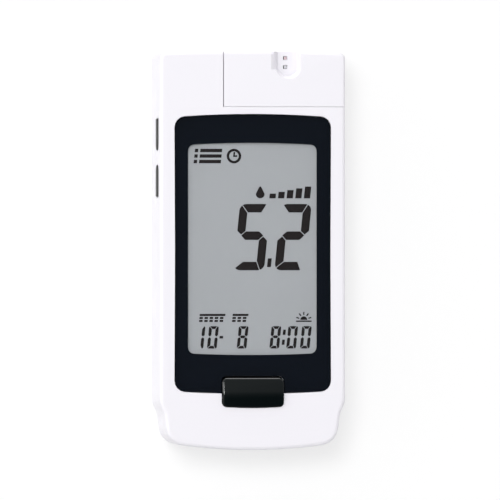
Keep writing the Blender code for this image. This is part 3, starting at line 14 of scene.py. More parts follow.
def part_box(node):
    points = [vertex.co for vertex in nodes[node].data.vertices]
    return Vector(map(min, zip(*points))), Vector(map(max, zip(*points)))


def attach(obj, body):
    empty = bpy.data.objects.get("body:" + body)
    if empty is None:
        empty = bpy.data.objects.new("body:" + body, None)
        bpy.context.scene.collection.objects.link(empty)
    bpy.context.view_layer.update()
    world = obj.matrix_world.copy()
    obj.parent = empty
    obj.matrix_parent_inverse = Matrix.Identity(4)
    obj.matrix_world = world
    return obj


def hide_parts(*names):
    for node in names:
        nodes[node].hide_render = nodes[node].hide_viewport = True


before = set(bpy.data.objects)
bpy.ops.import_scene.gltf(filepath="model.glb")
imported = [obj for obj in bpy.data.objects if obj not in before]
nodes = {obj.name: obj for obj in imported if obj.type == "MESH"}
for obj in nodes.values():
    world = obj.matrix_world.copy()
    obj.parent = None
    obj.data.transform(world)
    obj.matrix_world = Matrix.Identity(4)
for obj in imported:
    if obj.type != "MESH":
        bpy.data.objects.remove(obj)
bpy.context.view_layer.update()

MM = 0.001
print("pieces in the model:", len(nodes))

# %% [markdown]
# The picture looks straight down on the meter, a few degrees from the left, so that a
# narrow strip of its left wall shows. A long lens far away keeps the sides parallel, as a
# product photographer would choose. The field of view is worked out from the size of one
# pixel on the meter's face, which is easier to measure than a focal length.

# %% Camera
PICTURE_PIXELS = 500
PIXEL = 0.2456 * MM
CAMERA_DISTANCE = 2.4
CAMERA_TILT = math.radians(7.1)
FACE_AT_PIXEL = (252.85, 250.8)  # where the middle of the face lies in the picture
SENSOR = 36.0
FAR_CLIP = 20.0

face_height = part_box("front_housing")[1].z
across = (PICTURE_PIXELS / 2 - FACE_AT_PIXEL[0]) * PIXEL / math.cos(CAMERA_TILT)
along = (FACE_AT_PIXEL[1] - PICTURE_PIXELS / 2) * PIXEL
aim = Vector((across, along, face_height))
toward_camera = Vector((-math.sin(CAMERA_TILT), 0, math.cos(CAMERA_TILT)))

camera_data = bpy.data.cameras.new("camera")
camera_data.sensor_width = SENSOR
camera_data.lens = SENSOR * CAMERA_DISTANCE / (PICTURE_PIXELS * PIXEL)
camera_data.clip_end = FAR_CLIP
camera = bpy.data.objects.new("camera", camera_data)
camera.location = aim + toward_camera * CAMERA_DISTANCE
camera.rotation_euler = (0, -CAMERA_TILT, 0)
bpy.context.collection.objects.link(camera)
bpy.context.scene.camera = camera
print("focal length, mm:", round(camera_data.lens, 1))

# %% [markdown]
# Materials are built from nodes. Small helpers keep that readable: one turns a colour
# written as in a paint program into the linear values that the renderer mixes, and one
# adds a node, sets it and links it. Patterns are sized in real millimetres, so a third
# helper turns the size of a grain into the scale that a texture node asks for.

# %% Helpers for materials
def linear(hex_colour):
    """A paint program's hex colour as linear red, green, blue and alpha."""
    channels = [int(hex_colour[i:i + 2], 16) / 255 for i in (0, 2, 4)]
    curve = [c / 12.92 if c <= 0.04045 else ((c + 0.055) / 1.055) ** 2.4 for c in channels]
    return (*curve, 1.0)


def add_node(tree, kind, inputs=(), **settings):
    """Adds one node, with its settings, its plain values and its links."""
    made = tree.nodes.new(kind)
    for name, value in settings.items():
        setattr(made, name, value)
    for name, value in dict(inputs).items():
        if isinstance(value, bpy.types.NodeSocket):
            tree.links.new(value, made.inputs[name])
        else:
            made.inputs[name].default_value = value
    return made


def scale_for(grain):
    """The Scale value whose pattern repeats about once in a grain of that length."""
    return 1 / grain


def new_material(name, colour, roughness, metallic=0.0, ior=1.5):
    """A Principled material, its node tree and its shader."""
    material = bpy.data.materials.new(name)
    material.use_nodes = True
    shader = material.node_tree.nodes["Principled BSDF"]
    shader.inputs["Base Color"].default_value = linear(colour)
    shader.inputs["Roughness"].default_value = roughness
    shader.inputs["Metallic"].default_value = metallic
    shader.inputs["IOR"].default_value = ior
    return material, material.node_tree, shader


# %% [markdown]
# Nearly every moulded, cast or pressed surface has a fine grain that a plain colour lacks.
# It shows in three ways: the colour drifts a little, the gloss is uneven, and tiny bumps
# break up a reflection. One function gives a material all three from one noise on the
# piece's own coordinates, so the patterns agree with each other, as they do on a real
# surface. The grain's length and the bumps' height are real ones.

# %% A grain for any surface
GRAIN_DETAIL = 3.0


def object_place(tree):
    """The coordinates of the piece, in metres."""
    return add_node(tree, "ShaderNodeTexCoord").outputs["Object"]


def grain_noise(tree, grain):
    """A noise whose lumps are about as long as the grain."""
    return add_node(
        tree, "ShaderNodeTexNoise",
        {"Vector": object_place(tree), "Scale": scale_for(grain), "Detail": GRAIN_DETAIL},
    ).outputs["Fac"]


def give_grain(tree, shader, grain, height, tints, gloss):
    """Lets one noise steer the shader's colour, roughness and bumps.
    tints are two hex colours and gloss two roughness values."""
    noise = grain_noise(tree, grain)
    colour = add_node(
        tree, "ShaderNodeMix", {0: noise, 6: linear(tints[0]), 7: linear(tints[1])},
        data_type="RGBA",
    )
    tree.links.new(colour.outputs[2], shader.inputs["Base Color"])
    uneven = add_node(
        tree, "ShaderNodeMapRange", {"Value": noise, "To Min": gloss[0], "To Max": gloss[1]}
    )
    tree.links.new(uneven.outputs["Result"], shader.inputs["Roughness"])
    bump = add_node(
        tree, "ShaderNodeBump", {"Height": noise, "Strength": 1.0, "Distance": height}
    )
    tree.links.new(bump.outputs["Normal"], shader.inputs["Normal"])


def dress(material, *names):
    """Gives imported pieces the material, in place of the plain one they came with."""
    for name in names:
        nodes[name].data.materials.clear()
        nodes[name].data.materials.append(material)
        print(name, "is", material.name)


# %% [markdown]
# A white product on white needs a floor that is white in the picture and still keeps the
# soft shadow. For the camera the floor is part glow and part matt paint, so that a shadow
# only takes the painted part away. For all other light it is plain matt white, which
# bounces light back at the walls of the case.

# %% Floor
FLOOR_SIZE = 8.0
FLOOR_PAINT = "E8E8E8"
SHADOW_SHARE = 0.34
GLOW = 0.68

bpy.ops.object.select_all(action="DESELECT")
bpy.ops.mesh.primitive_plane_add(size=FLOOR_SIZE, location=(0, 0, 0))
floor = bpy.context.object
floor.name = "floor"
floor_material, tree, paint = new_material("matt_white_paper", FLOOR_PAINT, 0.9)
path = add_node(tree, "ShaderNodeLightPath")
seen = add_node(
    tree, "ShaderNodeMath",
    {0: path.outputs["Is Camera Ray"], 1: path.outputs["Is Glossy Ray"]}, operation="MAXIMUM",
)
seen = add_node(
    tree, "ShaderNodeMath", {0: seen.outputs[0], 1: path.outputs["Is Transmission Ray"]},
    operation="MAXIMUM",
)
shade = add_node(
    tree, "ShaderNodeBsdfDiffuse", {"Color": (SHADOW_SHARE, SHADOW_SHARE, SHADOW_SHARE, 1)}
)
glow = add_node(tree, "ShaderNodeEmission", {"Strength": GLOW})
backdrop = add_node(tree, "ShaderNodeAddShader", {0: shade.outputs[0], 1: glow.outputs[0]})
mixed = add_node(
    tree, "ShaderNodeMixShader",
    {0: seen.outputs[0], 1: paint.outputs[0], 2: backdrop.outputs[0]},
)
tree.links.new(mixed.outputs[0], tree.nodes["Material Output"].inputs["Surface"])
floor.data.materials.append(floor_material)
print("floor, m across:", FLOOR_SIZE)

# %% [markdown]
# The main light is a large softbox above the upper left corner. A weak low one at the front
# right opens up the walls that look away from it. It is kept out of reflections, as a
# photographer would do with a polariser, or it would draw bright lines along the black
# button. Two small cards do the opposite: one low behind the top end and one at the left,
# they are seen in reflections only, and draw the fine bright lines along the button's upper
# and left edges. The power of the two softboxes follows from the share of the light that
# each should give on the face, so that a colour comes out about as it is written.

# %% Lamps
KEY_SHARE = 0.49
KEY_PLACE = Vector((-0.40, 0.35, 1.67))
KEY_SIZE = 0.54
FILL_SHARE = 0.05
FILL_PLACE = Vector((0.9, -1.1, 0.75))
FILL_SIZE = 0.9
# Each card's place, the length of its two sides in metres, and how brightly it glows.
CARDS = {
    "card_behind": (Vector((-0.06, 1.56, 0.275)), (0.88, 0.4), 4.0),
    "card_left": (Vector((-1.22, 0.48, 0.92)), (0.35, 0.35), 4.0),
}


def watts_for(place, share):
    """The power of a lamp there that gives the meter's face that share of white light."""
    facing = place.z / place.length
    return math.pi ** 2 * place.length_squared * share / facing


def add_lamp(name, place, size, watts):
    """A rectangular lamp that looks at the meter."""
    data = bpy.data.lights.new(name, "AREA")
    data.shape = "RECTANGLE"
    data.size, data.size_y = size
    data.energy = watts
    lamp = bpy.data.objects.new(name, data)
    lamp.location = place
    lamp.rotation_euler = place.to_track_quat("Z", "Y").to_euler()
    bpy.context.collection.objects.link(lamp)
    print(name, "has, watts:", round(watts, 2))
    return lamp


add_lamp("key_softbox", KEY_PLACE, (KEY_SIZE, KEY_SIZE), watts_for(KEY_PLACE, KEY_SHARE))
fill = add_lamp(
    "fill_softbox", FILL_PLACE, (FILL_SIZE, FILL_SIZE), watts_for(FILL_PLACE, FILL_SHARE)
)
fill.visible_glossy = False
for name, (place, size, radiance) in CARDS.items():
    card = add_lamp(name, place, size, math.pi * size[0] * size[1] * radiance)
    card.visible_camera = False
    card.visible_diffuse = False

# %% [markdown]
# The sky is bright round the horizon and dark overhead. A flat glossy window mirrors what
# is overhead, so a dark zenith is what keeps it black, as a photographer's flag would. The
# sky is also a little brighter behind the meter's top end and at its left than on the other
# sides, so that the two slopes of the black button come out different. The camera itself
# sees plain white.

# %% Sky
SKY_HORIZON = 1.12
SKY_FALL = (-0.40, 0.38, -0.98)
SKY_DARKEST = 0.04

world = bpy.data.worlds.new("studio")
world.use_nodes = True
bpy.context.scene.world = world
tree = world.node_tree
direction = add_node(tree, "ShaderNodeTexCoord").outputs["Generated"]
change = add_node(
    tree, "ShaderNodeVectorMath", {0: direction, 1: SKY_FALL}, operation="DOT_PRODUCT"
)
bright = add_node(
    tree, "ShaderNodeMath", {0: change.outputs["Value"], 1: SKY_HORIZON}, operation="ADD"
)
bright = add_node(
    tree, "ShaderNodeMath", {0: bright.outputs[0], 1: SKY_DARKEST}, operation="MAXIMUM"
)
path = add_node(tree, "ShaderNodeLightPath")
strength = add_node(
    tree, "ShaderNodeMath", {0: bright.outputs[0], 1: path.outputs["Is Camera Ray"]},
    operation="MAXIMUM",
)
sky = tree.nodes["Background"]
sky.inputs["Color"].default_value = (1, 1, 1, 1)
tree.links.new(strength.outputs[0], sky.inputs["Strength"])

bpy.context.scene.view_settings.view_transform = "Standard"
print("sky overhead:", round(SKY_HORIZON + SKY_FALL[2], 2), "of plain white")

# %% [markdown]
# The case, the port cover and the battery door are moulded in white ABS. Its skin comes
# from a fine spark-eroded mould: satin, with a grain that softens every reflection. A spray
# or a bead-blasted mould would look coarser. The grain is drawn at a quarter of a
# millimetre, a little coarser than the real one, so that it shows close up.

# %% White moulded ABS
MOULD_GRAIN = 0.25 * MM
MOULD_HEIGHT = 0.0008 * MM

abs_white, tree, shader = new_material("abs_white_moulded", "F6F4FA", 0.38)
give_grain(tree, shader, MOULD_GRAIN, MOULD_HEIGHT, ("F4F2F8", "F8F6FC"), (0.33, 0.44))
dress(abs_white, "front_housing", "rear_housing", "battery_door")

# %% [markdown]
# The window is a sheet of clear polished acrylic. In a renderer, light from a lamp can't
# find its way through refracting glass, so everything behind it would be dark. The window
# is therefore plainly transparent for shadow rays and real glass for all others.

# %% Clear acrylic window
ACRYLIC_IOR = 1.49

acrylic, tree, shader = new_material("acrylic_clear", "FFFFFF", 0.0, ior=ACRYLIC_IOR)
shader.inputs["Transmission Weight"].default_value = 1.0
clear = add_node(tree, "ShaderNodeBsdfTransparent")
path = add_node(tree, "ShaderNodeLightPath")
unbent = add_node(
    tree, "ShaderNodeMath",
    {0: path.outputs["Is Shadow Ray"], 1: path.outputs["Is Diffuse Ray"]}, operation="MAXIMUM",
)
mixed = add_node(
    tree, "ShaderNodeMixShader",
    {0: unbent.outputs[0], 1: shader.outputs[0], 2: clear.outputs[0]},
)
tree.links.new(mixed.outputs[0], tree.nodes["Material Output"].inputs["Surface"])
dress(acrylic, "display_lens")

# %% [markdown]
# Pieces are shaped by hand from here on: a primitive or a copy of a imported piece, then
# edit mode. These helpers do what the mouse would do. One leaves a piece alone selected,
# two open edit mode on it, with all of it selected or only the parts that pass a test, one
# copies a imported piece, and one hands the finished piece over with its name, its material
# and the body that it rides on.

# %% Helpers for modelling
CUT_THRESHOLD = 1e-6
LISTED_AS = {"VERT": "vertices", "EDGE": "edges", "FACE": "polygons"}


def only(*pieces):
    """Leaves just these pieces selected, the first one active, in object mode."""
    bpy.ops.object.select_all(action="DESELECT")
    for piece in pieces:
        piece.select_set(True)
    bpy.context.view_layer.objects.active = pieces[0]


def edit_all(piece):
    """Opens the piece in edit mode with all of it selected."""
    only(piece)
    bpy.ops.object.mode_set(mode="EDIT")
    bpy.ops.mesh.select_all(action="SELECT")


def edit_some(piece, kind, wanted):
    """Opens the piece in edit mode with those corners (VERT), edges (EDGE) or faces (FACE)
    selected that the test accepts."""
    only(piece)
    bpy.ops.object.mode_set(mode="EDIT")
    bpy.ops.mesh.select_mode(type=kind)
    bpy.ops.mesh.select_all(action="DESELECT")
    bpy.ops.object.mode_set(mode="OBJECT")
    for part in getattr(piece.data, LISTED_AS[kind]):
        part.select = wanted(part)
    bpy.ops.object.mode_set(mode="EDIT")


def copy_of(source):
    """A copy of a piece with a mesh of its own, its doubled points merged."""
    piece = source.copy()
    piece.data = source.data.copy()
    piece.parent = None
    bpy.context.collection.objects.link(piece)
    edit_all(piece)
    bpy.ops.mesh.remove_doubles(threshold=CUT_THRESHOLD)
    bpy.ops.object.mode_set(mode="OBJECT")
    return piece


def hand_over(piece, name, material, body):
    """Names and finishes a piece and lets it ride on its body."""
    piece.name = name
    piece.data.name = name
    piece.data.materials.clear()
    piece.data.materials.append(material)
    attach(piece, body)
    print(name, "has", len(piece.data.polygons), "faces")


# %% [markdown]
# The port cover has a finger scoop with a shallow recess along its left side. On the real
# cover the recess falls steeply to the scoop's floor, which reaches under it, so the flank
# gets darker towards its foot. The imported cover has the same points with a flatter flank.
# A copy of it gets the steep one by moving the lip at the foot of the flank, and the first
# corners of the oval beside it, to the left. Each move picks its corners by their place.
# The copy's shading is made afresh: smooth up to a small angle, and led by the largest
# faces, so that flat parts look flat.

# %% Port cover with a steeper scoop
SCOOP_X = 8.35 * MM
# The height at which each ring of the scoop's corners lies.
SCOOP_RINGS = {"face": 20.500 * MM, "break": 19.956 * MM, "lip": 18.800 * MM}
LIP_MOVE = 0.40 * MM
OVAL_MOVE = 0.25 * MM
# Ring, span across from the scoop's middle, span along, both in millimetres, and the move.
SCOOP_MOVES = (
    ("lip", (-1.80, -1.60), (44.50, 49.10), LIP_MOVE),
    ("lip", (-1.50, -1.45), (44.10, 44.20), LIP_MOVE / 2),
    ("break", (-2.15, -2.10), (44.50, 44.60), OVAL_MOVE),
    ("break", (-1.96, -1.92), (44.00, 44.10), OVAL_MOVE / 2),
    ("face", (-2.48, -2.44), (44.50, 44.60), OVAL_MOVE),
    ("face", (-2.29, -2.25), (43.90, 44.00), OVAL_MOVE / 2),
)
PLACE_TOLERANCE = 0.005 * MM
SMOOTH_UP_TO = math.radians(25)

cover = copy_of(nodes["strip_port_cover"])
for ring_name, x_span, y_span, reach in SCOOP_MOVES:
    height = SCOOP_RINGS[ring_name]
    edit_some(
        cover, "VERT", lambda corner: abs(corner.co.z - height) < PLACE_TOLERANCE
        and x_span[0] * MM < corner.co.x - SCOOP_X < x_span[1] * MM
        and y_span[0] * MM < corner.co.y < y_span[1] * MM,
    )
    bpy.ops.transform.translate(value=(-reach, 0, 0))
    bpy.ops.object.mode_set(mode="OBJECT")
    print(ring_name, "corners moved:", sum(corner.select for corner in cover.data.vertices))
bpy.ops.mesh.customdata_custom_splitnormals_clear()
bpy.ops.object.shade_smooth_by_angle(angle=SMOOTH_UP_TO)
even = cover.modifiers.new("even", "WEIGHTED_NORMAL")
even.keep_sharp = True
bpy.ops.object.modifier_apply(modifier="even")
hand_over(cover, "port_cover_shell", abs_white, "port_cover")
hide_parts("strip_port_cover")

# %% [markdown]
# The black border round the display is ink, screen-printed on the back of the window. It
# could be painted by a mask in the window's material, but then it would have no edge of its
# own. Here it is a sheet: the window's outline and the edge of the view opening, both taken
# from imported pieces, with the space between them filled. It lies in the back face itself,
# as ink that wets the plastic does, so there is no gap to mirror light.

# %% Printed border of the window
INK_BELOW = 0.03 * MM
INK_THICKNESS = 0.08 * MM
INK_SHRINK = 0.9995
FLAT_ANGLE = math.radians(1)
LEVEL = 0.9  # the upward part of a normal, from which on a face counts as level


def thicken(piece, thickness):
    """Pulls a flat piece up into a thin solid and turns its faces outwards."""
    edit_all(piece)
    bpy.ops.mesh.extrude_region_move(TRANSFORM_OT_translate={"value": (0, 0, thickness)})
    bpy.ops.mesh.select_all(action="SELECT")
    bpy.ops.mesh.normals_make_consistent(inside=False)
    bpy.ops.object.mode_set(mode="OBJECT")


border = copy_of(nodes["display_lens"])
edit_some(border, "FACE", lambda face: face.normal.z > -LEVEL)
bpy.ops.mesh.delete(type="FACE")
bpy.ops.mesh.select_all(action="SELECT")
bpy.ops.mesh.dissolve_limited(angle_limit=FLAT_ANGLE)
bpy.ops.transform.translate(value=(0, 0, -INK_BELOW))
bpy.ops.transform.resize(value=(INK_SHRINK, INK_SHRINK, 1))
bpy.ops.object.mode_set(mode="OBJECT")
thicken(border, INK_THICKNESS)
print("border:", len(border.data.polygons), "faces")

# %% [markdown]
# The opening in the border has the outline of the opening in the foam gasket under it. The
# gasket's inner walls are kept, closed at both ends to a block, lifted to the ink, and
# taken away from it with a boolean.

# %% Opening in the printed border
UPRIGHT = 0.1  # the upward part of a normal, up to which a face counts as upright
VIEW_SEARCH = 0.87  # the share of the gasket's reach within which its opening's walls lie

gasket_low, gasket_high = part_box("lens_gasket")
ink_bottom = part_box("display_lens")[0].z - INK_BELOW
view_side = gasket_high.x * VIEW_SEARCH
view_end = gasket_high.y * VIEW_SEARCH


def outside_the_opening(face):
    """Whether a face of the gasket isn't a wall of its opening."""
    upright = abs(face.normal.z) < UPRIGHT
    return not upright or abs(face.center.x) > view_side or abs(face.center.y) > view_end


cutter = copy_of(nodes["lens_gasket"])
edit_some(cutter, "FACE", outside_the_opening)
bpy.ops.mesh.delete(type="FACE")
bpy.ops.mesh.select_all(action="SELECT")
bpy.ops.mesh.fill_holes(sides=0)
bpy.ops.mesh.select_all(action="SELECT")
bpy.ops.mesh.normals_make_consistent(inside=False)
bpy.ops.transform.translate(value=(0, 0, ink_bottom - (gasket_low.z + gasket_high.z) / 2))
bpy.ops.object.mode_set(mode="OBJECT")
view_corners = [corner.co for corner in cutter.data.vertices]
view_right = max(corner.x for corner in view_corners)
view_top = max(corner.y for corner in view_corners)
view_bottom = min(corner.y for corner in view_corners)
print("view opening, mm:", [round(v / MM, 2) for v in (view_right, view_bottom, view_top)])

only(border)
opening = border.modifiers.new("opening", "BOOLEAN")
opening.operation = "DIFFERENCE"
opening.solver = "EXACT"
opening.object = cutter
bpy.ops.object.modifier_apply(modifier="opening")

# %% [markdown]
# Screen ink is a deep, slightly blue black, matt in itself. Its gloss comes from the
# acrylic over it. The mesh it was printed through leaves the faintest unevenness.

# %% Screen ink
MESH_GRAIN = 0.4 * MM
MESH_HEIGHT = 0.0003 * MM

screen_ink, tree, shader = new_material("screen_ink_black", "0A1019", 0.6, ior=1.0)
give_grain(tree, shader, MESH_GRAIN, MESH_HEIGHT, ("080E17", "0C121B"), (0.55, 0.65))
hand_over(border, "window_print", screen_ink, "case")

# %% [markdown]
# The sawn edge of a clear sheet pipes light and would shine as a bright line, most of all in
# the notch round the button. Makers therefore ink the edge too. The walls of the packed
# window are copied, and a Solidify modifier gives them the thickness of a coat of ink, half
# of it in the acrylic as ink that wets the plastic.

# %% Inked edge of the window
EDGE_INK = 0.04 * MM

edge_ink = copy_of(nodes["display_lens"])
edit_some(edge_ink, "FACE", lambda face: abs(face.normal.z) > UPRIGHT)
bpy.ops.mesh.delete(type="FACE")
bpy.ops.object.mode_set(mode="OBJECT")
coat = edge_ink.modifiers.new("coat", "SOLIDIFY")
coat.thickness = EDGE_INK
coat.offset = 0
coat.use_even_offset = True
bpy.ops.object.modifier_apply(modifier="coat")
hand_over(edge_ink, "window_edge_ink", screen_ink, "case")

# %% [markdown]
# The display is a reflective LCD. Behind its glass lies a metallised film with a fine satin
# grain, which gives the even warm grey of a switched-on pocket display. It is seen through
# polarisers that swallow half the light, so a mid grey is the right colour. The film's
# grain is drawn at a fifth of a millimetre, a few times coarser than the real one.

# %% Display
FILM_GRAIN = 0.2 * MM
FILM_HEIGHT = 0.0004 * MM

reflector, tree, shader = new_material("lcd_reflector_film", "A1A5A9", 0.42)
give_grain(tree, shader, FILM_GRAIN, FILM_HEIGHT, ("9EA2A6", "A4A8AC"), (0.38, 0.46))
dress(reflector, "lcd_panel")

# %% [markdown]
# The panel lies under the housing's ledge. Its front glass, with the polariser on it, fills
# the opening in that ledge nearly up to the window, so the digits don't look sunken. The
# block that cut the opening in the ink has the right outline already. It is made a tenth of
# a millimetre larger all round and as thick as the glass, and put on the panel.

# %% Front glass of the display
GLASS_OVERLAP = 0.1 * MM
GLASS_THICKNESS = 1.2 * MM

panel_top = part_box("lcd_panel")[1].z
block_low = min(corner.z for corner in view_corners)
block_high = max(corner.z for corner in view_corners)
view_middle = (view_top + view_bottom) / 2
display_top = panel_top + GLASS_THICKNESS
growth = (
    1 + GLASS_OVERLAP / view_right,
    1 + 2 * GLASS_OVERLAP / (view_top - view_bottom),
    GLASS_THICKNESS / (block_high - block_low),
)

front_glass = cutter
edit_all(front_glass)
bpy.ops.transform.translate(value=(0, 0, panel_top - block_low))
bpy.ops.transform.resize(value=growth, center_override=(0, view_middle, panel_top))
bpy.ops.object.mode_set(mode="OBJECT")
hand_over(front_glass, "display_front_glass", reflector, "case")
print("top of the display, mm:", round(display_top / MM, 2))

# %% [markdown]
# Where a segment is switched on, the liquid crystal swallows the light and the segment
# looks nearly black. It lies inside the glass, so it has no gloss of its own.

# %% Dark segments
segment_black, tree, shader = new_material("lcd_segment_dark", "221E1F", 0.5, ior=1.0)
give_grain(tree, shader, FILM_GRAIN, FILM_HEIGHT, ("1F1B1C", "252122"), (0.40, 0.50))
print("digits and signs are", segment_black.name)

# %% [markdown]
# A digit of the display is made of up to seven bars with narrow gaps between them. Each bar
# could be typed in corner by corner, but it is quicker and truer to do what the makers do:
# start from the outline of the whole digit with its round corners, and cut one bar out of
# it with straight lines. The lines that part two neighbours are the mitres, and half the
# gap goes to each side. Every bar is modelled once and copied for each digit that shows it.

# %% How the bars are cut
BAR_THICKNESS = 0.04 * MM
CORNER_SEGMENTS = 6

# A digit's outer size, the breadth of its level bars and its posts, the radius of its
# corners, the gap between two bars, and how far it leans to the right for its height.
STYLES = {
    "large": {
        "width": 7.60 * MM, "height": 16.30 * MM, "bar": 2.08 * MM, "post": 2.03 * MM,
        "corner": 1.64 * MM, "gap": 0.19 * MM, "slant": 0.1017,
    },
    "small": {
        "width": 2.40 * MM, "height": 5.50 * MM, "bar": 0.68 * MM, "post": 0.75 * MM,
        "corner": 0.45 * MM, "gap": 0.13 * MM, "slant": 0.104,
    },
}
MIDDLE_SHARE = 0.522  # of the digit's height, to the middle bar
NOTCH_SHARE = 0.586  # of a post's breadth, from there to the notches in the outline
NOTCH_TURN = 42.3  # how steep these are, in degrees


def mitres(style):
    """For each bar, the straight cuts that part it from its neighbours: a point on the
    line, the line's direction in degrees, and the side that is kept, 1 for the left."""
    width, height, bar, post = (style[key] for key in ("width", "height", "bar", "post"))
    middle = MIDDLE_SHARE * height
    high_notch, low_notch = middle + NOTCH_SHARE * post, middle - NOTCH_SHARE * post
    top_left, top_right = ((post, height - bar), 128.5), ((width - post, height - bar), 61.7)
    low_left, low_right = ((post, bar), 220), ((width - post, bar), -66)
    upper_left, lower_left = ((post, middle + bar / 2), 221.5), ((post, middle - bar / 2), 135)
    upper_right = ((width - post, middle + bar / 2), -41.5)
    lower_right = ((width - post, middle - bar / 2), 45)
    return {
        "a": [(*top_left, -1), (*top_right, 1)],
        "b": [(*top_right, -1), (*upper_right, 1), ((width, high_notch), 180 + NOTCH_TURN, -1)],
        "c": [(*low_right, 1), (*lower_right, -1), ((width, low_notch), 180 - NOTCH_TURN, 1)],
        "d": [(*low_right, -1), (*low_left, 1)],
        "e": [(*low_left, -1), (*lower_left, 1), ((0, low_notch), NOTCH_TURN, -1)],
        "f": [(*top_left, 1), (*upper_left, -1), ((0, high_notch), -NOTCH_TURN, 1)],
        "g": [(*upper_left, 1), (*lower_left, -1), (*upper_right, -1), (*lower_right, 1)],
    }


def straight_sides(style):
    """For each bar, the upright or level cut that gives it its breadth."""
    width, height, bar, post = (style[key] for key in ("width", "height", "bar", "post"))
    middle = MIDDLE_SHARE * height
    return {
        "a": [((0, height - bar), 0, 1)], "d": [((0, bar), 0, -1)],
        "b": [((width - post, 0), 90, -1)], "c": [((width - post, 0), 90, -1)],
        "e": [((post, 0), 90, 1)], "f": [((post, 0), 90, 1)],
        "g": [((0, middle + bar / 2), 0, -1), ((0, middle - bar / 2), 0, 1)],
    }


# %% One bar
def plane(left, right, low, high):
    """A flat rectangle at its place."""
    bpy.ops.object.select_all(action="DESELECT")
    bpy.ops.mesh.primitive_plane_add(size=1, location=((left + right) / 2, (low + high) / 2, 0))
    piece = bpy.context.object
    piece.scale = (right - left, high - low, 1)
    bpy.ops.object.transform_apply(location=True, rotation=True, scale=True)
    return piece


def round_corners(piece, radius, segments):
    """Rounds every corner of a flat piece."""
    edit_all(piece)
    bpy.ops.mesh.bevel(offset=radius, segments=segments, affect="VERTICES")
    bpy.ops.object.mode_set(mode="OBJECT")


def cut_along(piece, point, degrees, kept, back):
    """Keeps the part of a flat piece on one side of a line, and a bit less."""
    turn = math.radians(degrees)
    left = Vector((-math.sin(turn), math.cos(turn), 0))
    away = -left * kept
    start = Vector((*point, 0)) - away * back
    edit_all(piece)
    bpy.ops.mesh.bisect(
        plane_co=start, plane_no=away, clear_outer=True, threshold=CUT_THRESHOLD
    )
    bpy.ops.object.mode_set(mode="OBJECT")


def make_bar(style, letter):
    """The bar of that letter, in the digit's own corner of the world."""
    bar = plane(0, style["width"], 0, style["height"])
    round_corners(bar, style["corner"], CORNER_SEGMENTS)
    for point, degrees, kept in straight_sides(style)[letter]:
        cut_along(bar, point, degrees, kept, 0)
    for point, degrees, kept in mitres(style)[letter]:
        on_outer_edge = point[0] in (0, style["width"])
        cut_along(bar, point, degrees, kept, 0 if on_outer_edge else style["gap"] / 2)
    thicken(bar, BAR_THICKNESS)
    return bar


bars = {}
for size, style in STYLES.items():
    for letter in "abcdefg":
        bars[size, letter] = make_bar(style, letter)
        print(size, "bar", letter, "has", len(bars[size, letter].data.vertices), "corners")

# %% [markdown]
# The digits lean a little. A shear in the view would do it, but a matrix on the mesh does
# the same thing exactly: every point moves right by a share of its height. The digits lie
# on the display's glass, placed by the lower left corner of each.

# %% Digits
BARS_OF = {"0": "abcdef", "1": "bc", "2": "abged", "5": "afgcd", "8": "abcdefg"}
READING_LOW = -4.79 * MM
CLOCK_LOW = -24.02 * MM
# Each digit of the clock, with its left edge in millimetres.
CLOCK_DIGITS = (
    ("1", -14.51), ("0", -11.20), ("8", -3.84), ("8", 4.26), ("0", 8.43), ("0", 11.82),
)


def joined(pieces):
    """One piece made of several."""
    only(*pieces)
    bpy.ops.object.join()
    return bpy.context.object


def lean_and_place(piece, slant, left, low):
    """Leans a flat piece and moves its corner to its place on the display."""
    lean = Matrix(((1, slant, 0, left), (0, 1, 0, low), (0, 0, 1, display_top), (0, 0, 0, 1)))
    piece.data.transform(lean)


def show(mark, name):
    """Hands over a dark mark of the display."""
    hand_over(mark, name, segment_black, "case")


def show_digit(name, size, digit, left, low):
    """Copies the bars of a digit, joins them and puts them on the display."""
    copies = []
    for letter in BARS_OF[digit]:
        bar = bars[size, letter].copy()
        bar.data = bar.data.copy()
        bpy.context.collection.objects.link(bar)
        copies.append(bar)
    whole = joined(copies)
    lean_and_place(whole, STYLES[size]["slant"], left, low)
    show(whole, name)


show_digit("reading_ones", "large", "5", -4.65 * MM, READING_LOW)
show_digit("reading_tenths", "large", "2", 5.51 * MM, READING_LOW)
for place, (digit, left) in enumerate(CLOCK_DIGITS):
    show_digit(f"clock_digit_{place + 1}", "small", digit, left * MM, CLOCK_LOW)
for bar in bars.values():
    bpy.data.objects.remove(bar)

# %% Point, dash and colon
DOT_SEGMENTS = 3
POINT_ROUND = 0.12 * MM
DOT_ROUND = 0.08 * MM
LARGE_SLANT = STYLES["large"]["slant"]
SMALL_SLANT = STYLES["small"]["slant"]


def dot(left, right, low, high, radius, slant):
    """A small leaning bar with round corners, drawn from its own lower left corner."""
    mark = plane(0, right - left, 0, high - low)
    round_corners(mark, radius, DOT_SEGMENTS)
    thicken(mark, BAR_THICKNESS)
    lean_and_place(mark, slant, left, low)
    return mark


point = dot(3.68 * MM, 4.65 * MM, -4.00 * MM, -1.84 * MM, POINT_ROUND, LARGE_SLANT)
dash = dot(-8.10 * MM, -7.21 * MM, -21.54 * MM, -20.93 * MM, DOT_ROUND, SMALL_SLANT)
colon = joined([
    dot(7.57 * MM, 8.24 * MM, -20.68 * MM, -19.38 * MM, DOT_ROUND, SMALL_SLANT),
    dot(7.32 * MM, 7.99 * MM, -23.11 * MM, -21.83 * MM, DOT_ROUND, SMALL_SLANT),
])
show(point, "reading_point")
show(dash, "clock_dash")
show(colon, "clock_colon")

# %% [markdown]
# Small plain signs stand round the digits: a list and a clock for the stored readings, a
# drop and a rising row of bars for the level, two calendar sheets for the date, and a
# rising sun for the morning. On a real display each is one more electrode, as flat and as
# dark as the digits. They are built from bars with round corners, rings and discs, all as
# thin as the digits' bars, and joined to one piece for each sign.

